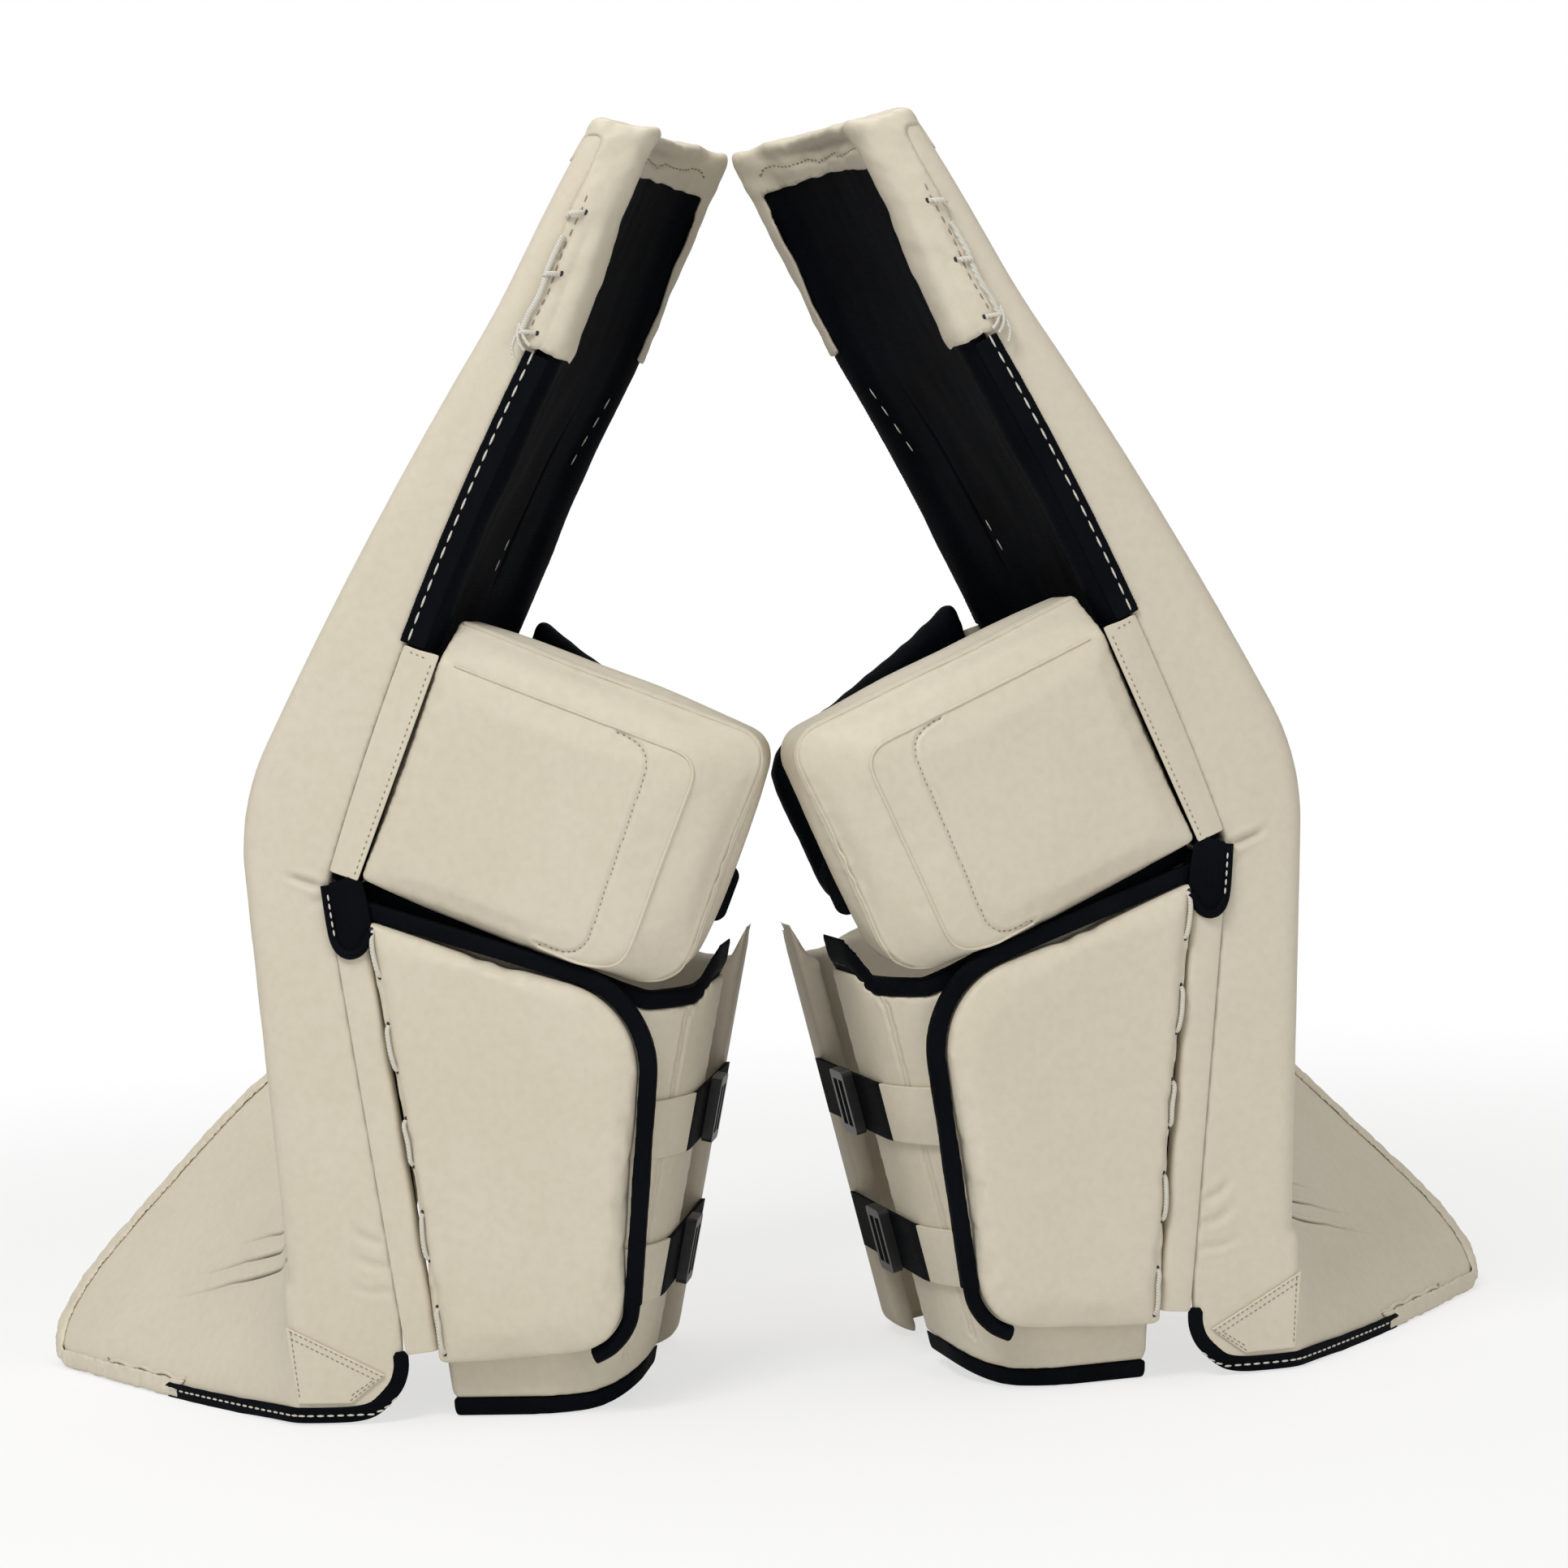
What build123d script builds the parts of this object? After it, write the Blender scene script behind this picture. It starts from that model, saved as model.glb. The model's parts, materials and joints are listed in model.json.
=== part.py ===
from build123d import *

import os
from functools import cache
from math import cos, degrees, radians, sin, tan

# A pair of ice hockey goalie leg pads. One pad is modelled in its own frame and placed twice, the second time
# mirrored. In the pad frame +X points forward, Y runs from the medial side (0) to the lateral side
# (pad_width), Z is the height above the ice, and X = 0 is the front of the knee break.

# ---- driving sizes, millimetres and degrees ----
pad_width = 280.0
clear = 0.3  # between pieces that lie against each other

# leather casing and linings
cover_wall = 2.5
front_rounding = 12.0
liner_roll = 17.0  # the padded roll stands this far behind the sidewall
roll_width = 34.0
channel_depth = 20.0
beyond = 60.0  # cutting stock stands this far past what it cuts
liner_middle = 11.0
crest = liner_roll * 0.6  # the roll's side rises this far, and then rounds over
binding_wall = 2.0
binding_lap = 5.0
binding_end = 1.0  # the thigh's binding stops this short of the knee strips and of the cap

# knee break and thigh rise; a lean is measured back from the vertical
knee_height = 351.0
knee_depth = 57.0
knee_drop = 6.0  # the break's back edge lies this much lower than its front
knee_gap = 1.0
knee_notch = 9.0
knee_bend_radius = 150.0
knee_bend = 31.5
thigh_radius = 2790.0
thigh_bend = 8.6
thigh_back_lean = 19.0
thigh_back_radius = 1950.0
thigh_back_length = 424.0
thigh_slant = 20.0  # the lateral edge is this much longer than the medial one
spare = 95.0  # stock that the slanted cut takes off
hollow_tail = 8.0  # the casing's hollow runs this far through its open end

# shin and ankle
shin_lean = 3.5
shin_back_lean = 7.2
ankle_medial = 85.0
ankle_lateral = 235.0
ankle_gap = 0.8
ankle_notch = 10.0

# boot, swept forward at its lateral side
trim_wall = 2.0
trim_outer = trim_wall + clear
boot_wall = 2.4
boot_core_inset = 2.9
boot_spare = 30.0
sole_front = -20.0
boot_crown = 7.0
wrap_band = 12.0
binding_band = 9.0
sole_binding_end = 78.0
patch_wall = 1.5
patch_corners = ((-15.0, 63.0), (-79.0, 31.0), (-56.0, 13.0), (-21.0, 13.0))
# stations from the ankle to the sole: height and depth of the medial side, then the lateral edge and its depth
boot_stations = (
    (58.0, 75.0, (60.0, 279.0, 190.0), 31.0),
    (37.0, 75.0, (126.0, 265.0, 128.0), 26.0),
    (18.0, 68.0, (186.0, 234.0, 60.0), 24.0),
    (4.0, 52.0, (204.0, 196.0, 13.0), 23.0),
    (0.0, 43.0, (186.0, 172.0, 0.0), 22.0),
)
boot_neck = 38.0

# cap over the top of the thigh rise
cap_wall = 2.0
cap_top = 30.0
cap_side = 112.0
cap_reach = 67.0  # the side's foot lies this far below the back edge's full length
cap_onto_back = 24.0
cap_onto_side = 20.0
tie_length = 14.0
tie_slope = 0.25
tie_places = (6.0, 25.0, 44.0, 63.0)

# strips that hinge the knee block, the knee wing and the calf wing
strip_width = 19.0
strip_wall = 2.0
strip_foot = 93.0
strip_top = 312.0
strip_start = 6.0  # the thigh's strips run from here up to past the block
strip_past = 10.0
tab_height = 22.0

# knee block
block_turn = 23.0
block_start = 8.0  # its foot's front corner, along the thigh's back edge
block_length = 212.0
block_height = 148.0
block_band = 26.0
block_bevel = 24.0
block_depth = 66.0
block_proud = 4.0
block_corner = 34.0
block_top_corner = 20.4
block_face_length = 176.0
block_face_corner = 17.0
knee_strap_width = 38.0
knee_strap_length = 172.0
knee_strap_out = 26.0  # its middle lies this far behind the block's
knee_strap_at = 66.6
knee_strap_rounding = 8.0

# lateral knee wing
knee_wing_wall = 20.0
knee_wing_length = 176.0
knee_wing_height = 176.0
knee_wing_drop = 41.6
knee_wing_corner = 40.8

# calf wing, calf wrap and lateral calf wing
calf_wing_wall = 20.0
wrap_face = calf_wing_wall - block_proud + clear  # the wrap's outer face lies behind the wing
calf_wing_foot = 34.0
calf_wing_top = 321.0
calf_wing_corner = (186.0, 240.0)
calf_wing_heel = (135.0, 28.0)
calf_wing_corner_rounding = 58.0
calf_wing_heel_rounding = 32.0
wing_binding_foot = 52.0
binding_width = 11.0
wrap_wall = 16.0
wrap_bend = 62.0
wrap_rear_foot = -229.5
wrap_rear_lean = 12.7
wrap_end = 118.0
outer_end = 80.0
wrap_top = 366.0
wrap_top_line = ((-40.0, 359.0), (-252.0, 267.0), (-280.0, 267.0), (-299.0, 300.0))
wrap_heel_rounding = 52.0
wrap_margin = 12.0
lace_length = 29.0
lace_size = 3.0
lace_count = 5
lace_end = 8.0
lace_inset = 5.0
strap_width = 38.0
strap_wall = 3.0
strap_heights = (178.0, 84.0)
strap_start = 66.0
strap_end = 212.0
tab_start = 22.0
buckle_at = 135.0
buckle_wall = 7.0
buckle_width = 30.0
buckle_frame = 6.0
buckle_corner = 4.0

# stance of the two pads
stance_half = 341.0
yaw_left_leg = 15.0
yaw_right_leg = 7.0
right_leg_nearer = 45.0

# ---- lines of the side view that several pieces share ----
shin_tangent = Vector(sin(radians(shin_lean)), cos(radians(shin_lean)))
shin_normal = Vector(-shin_tangent.Y, shin_tangent.X)  # points back
knee_front = Vector(0, knee_height)
knee_back = Vector(-knee_depth, knee_height - knee_drop)
back_centre = knee_back - Vector(cos(radians(thigh_back_lean)), sin(radians(thigh_back_lean))) * thigh_back_radius


def side(y):
    """The side view's plane at distance y from the medial side; extrude by -w to go laterally by w."""
    return Plane.XZ.offset(-y)


def thigh_back(along, behind):
    """A point of the thigh's back edge, along it from the knee and behind it."""
    angle = radians(thigh_back_lean) + along / thigh_back_radius
    return back_centre + Vector(cos(angle), sin(angle)) * (thigh_back_radius - behind)


def shin_front(z):
    return -(knee_height - z) * tan(radians(shin_lean))


def shin_back(z, behind=0.0):
    """The shin's back edge at height z, moved behind it."""
    top = knee_back - Vector(0, knee_notch)
    return top.X - (top.Y - z) * tan(radians(shin_back_lean)) - behind / cos(radians(shin_back_lean))


def wrap_rear(z):
    return wrap_rear_foot - z * tan(radians(wrap_rear_lean))


# ---- cutting planes that several pieces share ----
top_lean = knee_bend - shin_lean + thigh_bend
with BuildLine() as thigh_front:
    bend = JernArc(knee_front, shin_tangent, knee_bend_radius, knee_bend)
    rise = JernArc(bend @ 1, bend % 1, thigh_radius, thigh_bend)
thigh_top = Vector((rise @ 1).X, 0, (rise @ 1).Y)
thigh_axis = Vector(-sin(radians(top_lean)), 0, cos(radians(top_lean)))
top_across = (Vector(0, pad_width, 0) + thigh_axis * thigh_slant).normalized()
top_normal = (thigh_axis * pad_width - Vector(0, thigh_slant, 0)).normalized()

ankle_start = Vector(shin_front(ankle_medial), 0, ankle_medial)
ankle_line = (Vector(shin_front(ankle_lateral), pad_width, ankle_lateral) - ankle_start).normalized()
ankle_up = Vector(1, 0, 0).cross(ankle_line).normalized()
boot_up = Vector(cos(radians(ankle_notch)), 0, sin(radians(ankle_notch))).cross(ankle_line).normalized()


def top_plane(below):
    """The slanted top end of the thigh rise, moved down; x runs laterally, y runs backwards."""
    return Plane(thigh_top - top_normal * below, x_dir=top_across, z_dir=top_normal)


def thigh_section(along=0.0):
    """The plane across the thigh's back edge; x runs laterally, y runs backwards."""
    lean = radians(thigh_back_lean) + along / thigh_back_radius
    point = thigh_back(along, 0)
    return Plane((point.X, 0, point.Y), x_dir=(0, 1, 0), z_dir=(-sin(lean), 0, cos(lean)))


def shin_section(z=0.0):
    """The plane across the shin's back edge; x runs laterally, y runs backwards."""
    lean = radians(shin_back_lean)
    return Plane((shin_back(z), 0, z), x_dir=(0, 1, 0), z_dir=(sin(lean), 0, cos(lean)))


def shin_side(y):
    """A side view in the shin's back-edge axes: x runs behind that edge and y up along it, from the ice."""
    lean = radians(shin_back_lean)
    return Plane((shin_back(0), y, 0), x_dir=(-cos(lean), 0, sin(lean)), z_dir=(0, 1, 0))


def block_side(y):
    """A side view in the knee block's axes: x runs back along the block, y up from its foot."""
    turn = radians(block_turn)
    corner = thigh_back(block_start, strip_width)
    return Plane((corner.X, y, corner.Y), x_dir=(-cos(turn), 0, -sin(turn)), z_dir=(0, 1, 0))


thigh_turn_axis = Axis((back_centre.X, 0, back_centre.Y), (0, -1, 0))


# ---- outlines and stock ----
def thigh_outline(y, inset, behind, tail=0.0):
    """The thigh rise in the side view: inset from its front, standing behind its back edge."""
    start = knee_front + Vector(0, knee_gap) + shin_normal * inset
    reach = thigh_back_length + spare
    with BuildSketch(side(y)) as outline:
        with BuildLine():
            bend = JernArc(start, shin_tangent, knee_bend_radius - inset, knee_bend)
            rise = JernArc(bend @ 1, bend % 1, thigh_radius - inset, thigh_bend + degrees(spare / thigh_radius))
            back = ThreePointArc(thigh_back(reach, behind), thigh_back(reach / 2, behind), thigh_back(-tail, behind))
            Line(rise @ 1, back @ 0)
            Line(back @ 1, start - shin_tangent * tail)
            if tail:
                Line(start - shin_tangent * tail, start)
        make_face()
    return outline.sketch


def shin_outline(y, inset, behind, tail=0.0):
    """The shin in the side view, from well below the ankle to the knee break."""
    floor = ankle_medial / 2
    notch = knee_back.Y - knee_notch
    with BuildSketch(side(y)) as outline:
        with BuildLine():
            Polyline(
                knee_front - shin_tangent * (knee_gap - tail) + shin_normal * inset,
                (shin_back(notch + tail, behind), notch + tail),
                (shin_back(floor, behind), floor),
                (shin_front(floor) - inset / cos(radians(shin_lean)), floor),
                close=True,
            )
        make_face()
    return outline.sketch


def channel_outline(plane, grown):
    """The leg channel's scoop, with all that lies behind it, grown into the foam by a clearance."""
    edge = roll_width / 2
    wide = pad_width + edge
    with BuildSketch(plane) as outline:
        with BuildLine():
            scoop = ThreePointArc(
                (edge, -grown), (pad_width / 2, -channel_depth - grown), (pad_width - edge, -grown))
            Polyline(scoop @ 1, (wide, -grown), (wide, beyond), (-edge, beyond), (-edge, -grown), scoop @ 0)
        make_face()
    return outline.sketch


def liner_outline(plane):
    """A padded liner that fills the scoop and stands in a roll behind each edge."""
    near = strip_wall + clear
    far = pad_width - near
    edge = roll_width / 2
    crown = edge * 0.85
    with BuildSketch(plane) as outline:
        with BuildLine():
            scoop = ThreePointArc((edge, 0), (pad_width / 2, -channel_depth), (pad_width - edge, 0))
            outer = Polyline(scoop @ 1, (far, 0), (far, crest))
            outer_roll = ThreePointArc(outer @ 1, (far - crown, liner_roll), (far - roll_width, crest / 2))
            middle = (pad_width / 2, liner_middle - channel_depth)
            face = ThreePointArc(outer_roll @ 1, middle, (near + roll_width, crest / 2))
            inner_roll = ThreePointArc(face @ 1, (near + crown, liner_roll), (near, crest))
            Polyline(inner_roll @ 1, (near, 0), scoop @ 0)
        make_face()
    return outline.sketch


def thigh_stock(inset, behind, tail=0.0, rounding=0.0):
    """The solid inside a side outline of the thigh rise, inset from both sides too, its front edges rounded."""
    with BuildPart() as stock:
        extrude(thigh_outline(inset, inset, behind, tail), amount=2 * inset - pad_width)
        if rounding:
            arcs = stock.edges().filter_by(GeomType.CIRCLE)
            fillet(arcs.filter_by(lambda e: abs(e.radius - thigh_back_radius) > 2 * liner_roll), rounding)
    return stock.part


def shin_stock(inset, behind, tail=0.0, rounding=0.0):
    """The solid inside a side outline of the shin, inset from both sides too, its front edges rounded."""
    with BuildPart() as stock:
        extrude(shin_outline(inset, inset, behind, tail), amount=2 * inset - pad_width)
        if rounding:
            fillet(stock.edges().filter_by(Axis((0, 0, 0), (shin_tangent.X, 0, shin_tangent.Y))), rounding)
    return stock.part


def block_outline(y, length, height, far_corner, top_corner, drop=0.0):
    """A knee block or wing in the block's side view, with rounded far corners and a top that may slope."""
    with BuildSketch(block_side(y)) as outline:
        with BuildLine():
            Polyline((0, 0), (length, 0), (length, height - drop), (0, height), close=True)
        make_face()
        fillet(outline.vertices().sort_by(Axis.X)[-2:].sort_by(Axis.Y)[:1], far_corner)
        fillet(outline.vertices().group_by(Axis.X)[-1].sort_by(Axis.Y)[-1:], top_corner)
    return outline.sketch


def wrap_section(z, face, outset, wall, start, end):
    """The calf wrap cut level: straight back from the strip, round the bend and across the calf."""
    rear = wrap_rear(z) - outset
    near = face - outset
    bend_radius = wrap_bend + outset
    with BuildSketch(Plane.XY.offset(z)) as section:
        with BuildLine():
            Polyline((start, near + wall), (start, near), (rear + bend_radius, near))
            turn = JernArc((rear + bend_radius, near), (-1, 0), bend_radius, -90)
            Polyline(turn @ 1, (rear, end), (rear + wall, end), (rear + wall, near + bend_radius))
            back = JernArc((rear + wall, near + bend_radius), (0, -1), bend_radius - wall, 90)
            Line(back @ 1, (start, near + wall))
        make_face()
    return section.sketch


# ---- thigh rise ----
def make_thigh_cover():
    with BuildPart() as thigh_cover:
        add(thigh_stock(0, 0, rounding=front_rounding))
        hollow = thigh_stock(cover_wall, liner_roll, tail=hollow_tail, rounding=front_rounding - cover_wall)
        add(hollow, mode=Mode.SUBTRACT)
        split(bisect_by=top_plane(0), keep=Keep.BOTTOM)
    return thigh_cover.part


def make_thigh_core():
    inset = cover_wall + clear
    with BuildPart() as thigh_core:
        add(thigh_stock(inset, 0, rounding=front_rounding - inset))
        revolve(channel_outline(thigh_section(-channel_depth), clear), axis=thigh_turn_axis,
                revolution_arc=degrees((thigh_back_length + 2 * spare) / thigh_back_radius), mode=Mode.SUBTRACT)
        split(bisect_by=top_plane(cover_wall), keep=Keep.BOTTOM)
    return thigh_core.part


def make_thigh_liner():
    with BuildPart() as thigh_liner:
        revolve(liner_outline(thigh_section(clear)), axis=thigh_turn_axis,
                revolution_arc=degrees((thigh_back_length + spare) / thigh_back_radius))
        split(bisect_by=top_plane(cover_wall), keep=Keep.BOTTOM)
    return thigh_liner.part


def back_band(y, front, behind, start, end):
    """A band along the thigh's back edge in the side view."""
    middle = (start + end) / 2
    with BuildSketch(side(y)) as band:
        with BuildLine():
            near = ThreePointArc(thigh_back(start, front), thigh_back(middle, front), thigh_back(end, front))
            far = ThreePointArc(thigh_back(end, behind), thigh_back(middle, behind), thigh_back(start, behind))
            Line(near @ 1, far @ 0)
            Line(far @ 1, near @ 0)
        make_face()
    return band.sketch


def make_thigh_binding():
    """A bound edge on both sides of the thigh, from the knee strips up to the cap."""
    start = block_height + strip_past + binding_end
    end = thigh_back_length - cap_reach - binding_end
    behind = liner_roll * 0.7
    with BuildPart() as thigh_binding:
        extrude(back_band(-clear, -binding_lap, behind, start, end), amount=binding_wall)
        extrude(back_band(pad_width + clear, -binding_lap, behind, start, end + thigh_slant), amount=-binding_wall)
    return thigh_binding.part


def make_thigh_cap():
    """A sleeve over the top end, deeper at the back, with a leg down both back edges."""
    outer = clear + cap_wall
    end = thigh_back_length + spare
    start = thigh_back_length - cap_side - beyond
    stock = thigh_stock(-clear, liner_roll + 2 * clear, tail=hollow_tail)
    room = split(stock, bisect_by=top_plane(-clear), keep=Keep.BOTTOM)
    with BuildPart() as thigh_cap:
        extrude(back_band(-outer, -cap_onto_side, beyond, start, end), amount=-cap_onto_back - outer)
        far = pad_width - cap_onto_back
        extrude(back_band(far, -cap_onto_side, beyond, start, end), amount=-cap_onto_back - outer)
        split(bisect_by=top_plane(cap_side), keep=Keep.TOP)
        back = extrude(back_band(-outer, -cap_onto_side, beyond, start, end), amount=-pad_width - 2 * outer,
                       mode=Mode.PRIVATE)
        add(split(back, bisect_by=top_plane(cap_top), keep=Keep.TOP, mode=Mode.PRIVATE))
        with BuildSketch(top_plane(cap_top / 2)):
            with Locations((pad_width / 2, 0)):
                Rectangle(2 * pad_width, 2 * pad_width)
        extrude(amount=cap_top)
        split(bisect_by=top_plane(-outer), keep=Keep.BOTTOM)
        add(thigh_stock(-outer, liner_roll + outer), mode=Mode.INTERSECT)
        add(room, mode=Mode.SUBTRACT)
    return thigh_cap.part


def make_cap_laces():
    """Four short ties across the cap's medial seam."""
    with BuildPart() as cap_laces:
        for along in tie_places:
            at = thigh_back(thigh_back_length - along, -cap_onto_side / 2)
            place = Plane((at.X, -cap_wall - 2 * clear - lace_size / 2, at.Y), x_dir=(0, 1, 0), z_dir=(1, 0, tie_slope))
            with Locations(place):
                Cylinder(lace_size / 2, tie_length)
    return cap_laces.part


# ---- shin ----
def make_shin_cover():
    with BuildPart() as shin_cover:
        add(shin_stock(0, 0, rounding=front_rounding))
        add(shin_stock(cover_wall, liner_roll, tail=hollow_tail, rounding=front_rounding - cover_wall), mode=Mode.SUBTRACT)
        split(bisect_by=Plane(ankle_start, z_dir=ankle_up), keep=Keep.TOP)
    return shin_cover.part


def make_shin_core():
    inset = cover_wall + clear
    with BuildPart() as shin_core:
        add(shin_stock(inset, 0, rounding=front_rounding - inset))
        extrude(channel_outline(shin_section(), clear), amount=2 * knee_height, mode=Mode.SUBTRACT)
        split(bisect_by=Plane(ankle_start, z_dir=ankle_up), keep=Keep.TOP)
    return shin_core.part


def make_shin_liner():
    top = (knee_back.Y - knee_notch) / cos(radians(shin_back_lean))
    with BuildPart() as shin_liner:
        extrude(liner_outline(shin_section()), amount=top)
        split(bisect_by=Plane(ankle_start, z_dir=ankle_up), keep=Keep.TOP)
    return shin_liner.part


def make_shin_binding():
    """The bound tabs over both ends of the knee break, above the calf strips."""
    with BuildPart() as shin_binding:
        for y in (-strip_wall / 2, pad_width - strip_wall / 2):
            with BuildSketch(shin_side(y)) as tab:
                with Locations((strip_width / 2, strip_top + tab_height / 2)):
                    Rectangle(strip_width - 2 * clear, tab_height)
                fillet(tab.vertices().group_by(Axis.Y)[0].sort_by(Axis.X)[-1:], tab_height / 2)
            extrude(amount=strip_wall)
    return shin_binding.part


# ---- boot ----
def boot_plane(height, lateral):
    """One station's plane and lateral end; x runs backwards and y from the medial to the lateral side."""
    start = Vector(sole_front + height * tan(radians(shin_lean)), 0, height + trim_outer)
    across = Vector(*lateral) + Vector(0, 0, trim_outer) - start
    plane = Plane(start, x_dir=(-1, 0, 0), z_dir=Vector(-1, 0, 0).cross(across))
    return plane, plane.to_local_coords(start + across)


def boot_section(height, depth, lateral, lateral_depth):
    """The boot across its width at one station, its front face crowned."""
    plane, end = boot_plane(height, lateral)
    with BuildSketch(plane) as section:
        with BuildLine():
            ThreePointArc((0, 0), (end.X / 2 - boot_crown, end.Y / 2), (end.X, end.Y))
            Polyline((end.X, end.Y), (end.X + lateral_depth, end.Y), (depth, 0), (0, 0))
        make_face()
    return section.sketch


def edge_section(height, depth, lateral, lateral_depth):
    """A block round the boot's lateral edge at one station, as deep as the edge wrap."""
    plane, end = boot_plane(height, lateral)
    near = end * (1 - wrap_band / end.length)
    over = end * (1 + wrap_band / end.length)
    with BuildSketch(plane) as section:
        with BuildLine():
            Polyline(
                (near.X - wrap_band, near.Y),
                (over.X - wrap_band, over.Y),
                (over.X + lateral_depth + wrap_band, over.Y),
                (near.X + lateral_depth + wrap_band, near.Y),
                close=True,
            )
        make_face()
    return section.sketch


def boot_loft(section):
    """A loft down the boot's stations, its neck left long."""
    neck = (shin_front(ankle_lateral), pad_width, ankle_lateral)
    above = (neck[0] + boot_spare * tan(radians(shin_lean)), neck[1], neck[2] + boot_spare)
    ankle_depth = shin_front(ankle_medial) - shin_back(ankle_medial)
    rows = (
        (ankle_medial + boot_spare, ankle_depth, above, boot_neck),
        (ankle_medial, ankle_depth, neck, boot_neck),
        *boot_stations,
    )
    with BuildPart() as stock:
        loft([section(*row) for row in rows])
    return stock.part


def boot_stock(grown):
    with BuildPart() as stock:
        add(boot_loft(boot_section))
        offset(amount=grown)
    return stock.part


def cut_neck(boot):
    return split(boot, bisect_by=Plane(ankle_start - ankle_up * ankle_gap, z_dir=boot_up), keep=Keep.BOTTOM)


@cache
def boot_shell():
    """A skin of trim_wall round the whole boot, from which the wrap and the binding are cut."""
    return boot_stock(trim_outer) - boot_stock(clear)


def make_boot_cover():
    with BuildPart() as boot_cover:
        add(cut_neck(boot_loft(boot_section) - boot_stock(-boot_wall)))
    return boot_cover.part


def make_boot_core():
    with BuildPart() as boot_core:
        add(cut_neck(boot_stock(-boot_core_inset)))
    return boot_core.part


def make_boot_wrap():
    """The stitched leather edge round the toe and up the lateral side."""
    with BuildPart() as boot_wrap:
        add(boot_loft(edge_section))
        with BuildSketch(Plane.XY):
            Rectangle(4 * pad_width, 4 * pad_width)
        extrude(amount=wrap_band)
        add(boot_shell(), mode=Mode.INTERSECT)
        add(cut_neck(boot_wrap.part), mode=Mode.REPLACE)
        split(bisect_by=Plane.XZ.offset(-sole_binding_end - clear), keep=Keep.BOTTOM)
    return boot_wrap.part


def make_boot_binding():
    """The bound edge of the sole under the medial side."""
    with BuildPart() as boot_binding:
        add(split(boot_shell(), bisect_by=Plane.XY.offset(binding_band), keep=Keep.BOTTOM))
        split(bisect_by=Plane.XZ.offset(-sole_binding_end), keep=Keep.TOP)
    return boot_binding.part


def make_boot_patch():
    """The double-stitched corner patch on the medial side."""
    with BuildPart() as boot_patch:
        with BuildSketch(side(-clear)):
            with BuildLine():
                Polyline(*patch_corners, close=True)
            make_face()
        extrude(amount=patch_wall)
    return boot_patch.part


# ---- knee block, strap and wing ----
def make_knee_block():
    """The inner knee stack: a full back half, and a medial half bevelled to the stitched face."""
    full = (block_length, block_height + block_band, block_corner, block_top_corner)
    face = (block_face_length, block_height, block_corner, block_face_corner)
    with BuildPart() as knee_block:
        loft([block_outline(-block_proud, *face), block_outline(block_bevel - block_proud, *full)])
        extrude(block_outline(block_bevel - block_proud, *full), amount=block_depth - block_bevel)
    return knee_block.part


def make_knee_strap():
    """A webbing strap sewn across the block's inner face, its end standing past the block."""
    with BuildPart() as knee_strap:
        with BuildSketch(block_side(block_depth - block_proud + clear)):
            with Locations((block_length / 2 + knee_strap_out, knee_strap_at)):
                RectangleRounded(knee_strap_length, knee_strap_width, knee_strap_rounding)
        extrude(amount=strap_wall)
    return knee_strap.part


def make_knee_wing():
    with BuildPart() as knee_wing:
        extrude(
            block_outline(pad_width + block_proud - knee_wing_wall, knee_wing_length, knee_wing_height,
                          knee_wing_corner, block_corner, drop=knee_wing_drop),
            amount=knee_wing_wall)
    return knee_wing.part


def make_knee_strips():
    """Leather strips behind both edges of the thigh's sidewalls, which carry the block and the wing."""
    with BuildPart() as knee_strips:
        for y in (0, pad_width - strip_wall):
            extrude(back_band(y, clear, strip_width - clear, strip_start, block_height + strip_past), amount=-strip_wall)
    return knee_strips.part


# ---- calf wing, wrap and straps ----
def make_calf_strips():
    """Leather strips behind both edges of the shin's sidewalls, which carry the calf wing and wrap."""
    with BuildPart() as calf_strips:
        for y in (0, pad_width - strip_wall):
            with BuildSketch(shin_side(y)):
                with Locations((strip_width / 2, (strip_top + strip_foot) / 2 - clear)):
                    Rectangle(strip_width - 2 * clear, strip_top - strip_foot)
            extrude(amount=strip_wall)
    return calf_strips.part


def calf_wing_outline(y, grown):
    """The calf wing in the shin's side view, grown all round."""
    front = strip_width + clear
    with BuildSketch(shin_side(y)) as outline:
        with BuildLine():
            Polyline((front, calf_wing_foot), (front, calf_wing_top), calf_wing_corner, calf_wing_heel, close=True)
        make_face()
        fillet(outline.vertices().sort_by(Axis.X)[-1:], calf_wing_corner_rounding)
        fillet(outline.vertices().group_by(Axis.Y)[0], calf_wing_heel_rounding)
        if grown:
            offset(amount=grown)
    return outline.sketch


def make_calf_wing():
    with BuildPart() as calf_wing:
        extrude(calf_wing_outline(-block_proud, 0), amount=calf_wing_wall)
    return calf_wing.part


def make_calf_wing_binding():
    """The wing's bound top and rear edge."""
    wall = calf_wing_wall / 2
    y = -block_proud + wall / 2
    with BuildPart() as calf_wing_binding:
        extrude(calf_wing_outline(y, binding_width), amount=wall)
        extrude(calf_wing_outline(y, clear), amount=wall, mode=Mode.SUBTRACT)
        with BuildSketch(shin_side(y)):
            Rectangle(2 * (strip_width + clear), 3 * calf_wing_top)
            Rectangle(4 * calf_wing_heel[0], 2 * wing_binding_foot)
        extrude(amount=wall, mode=Mode.SUBTRACT)
    return calf_wing_binding.part


def make_calf_lace():
    """Running lace stitches along the wing's front edge."""
    pitch = (calf_wing_top - calf_wing_foot - lace_length - 2 * lace_end) / (lace_count - 1)
    with BuildPart() as calf_lace:
        for i in range(lace_count):
            height = calf_wing_foot + lace_end + lace_length / 2 + i * pitch
            with BuildSketch(shin_side(-block_proud - clear - lace_size)):
                with Locations((strip_width + lace_inset, height)):
                    SlotOverall(lace_length, lace_size, rotation=90)
            extrude(amount=lace_size)
    return calf_lace.part


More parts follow.
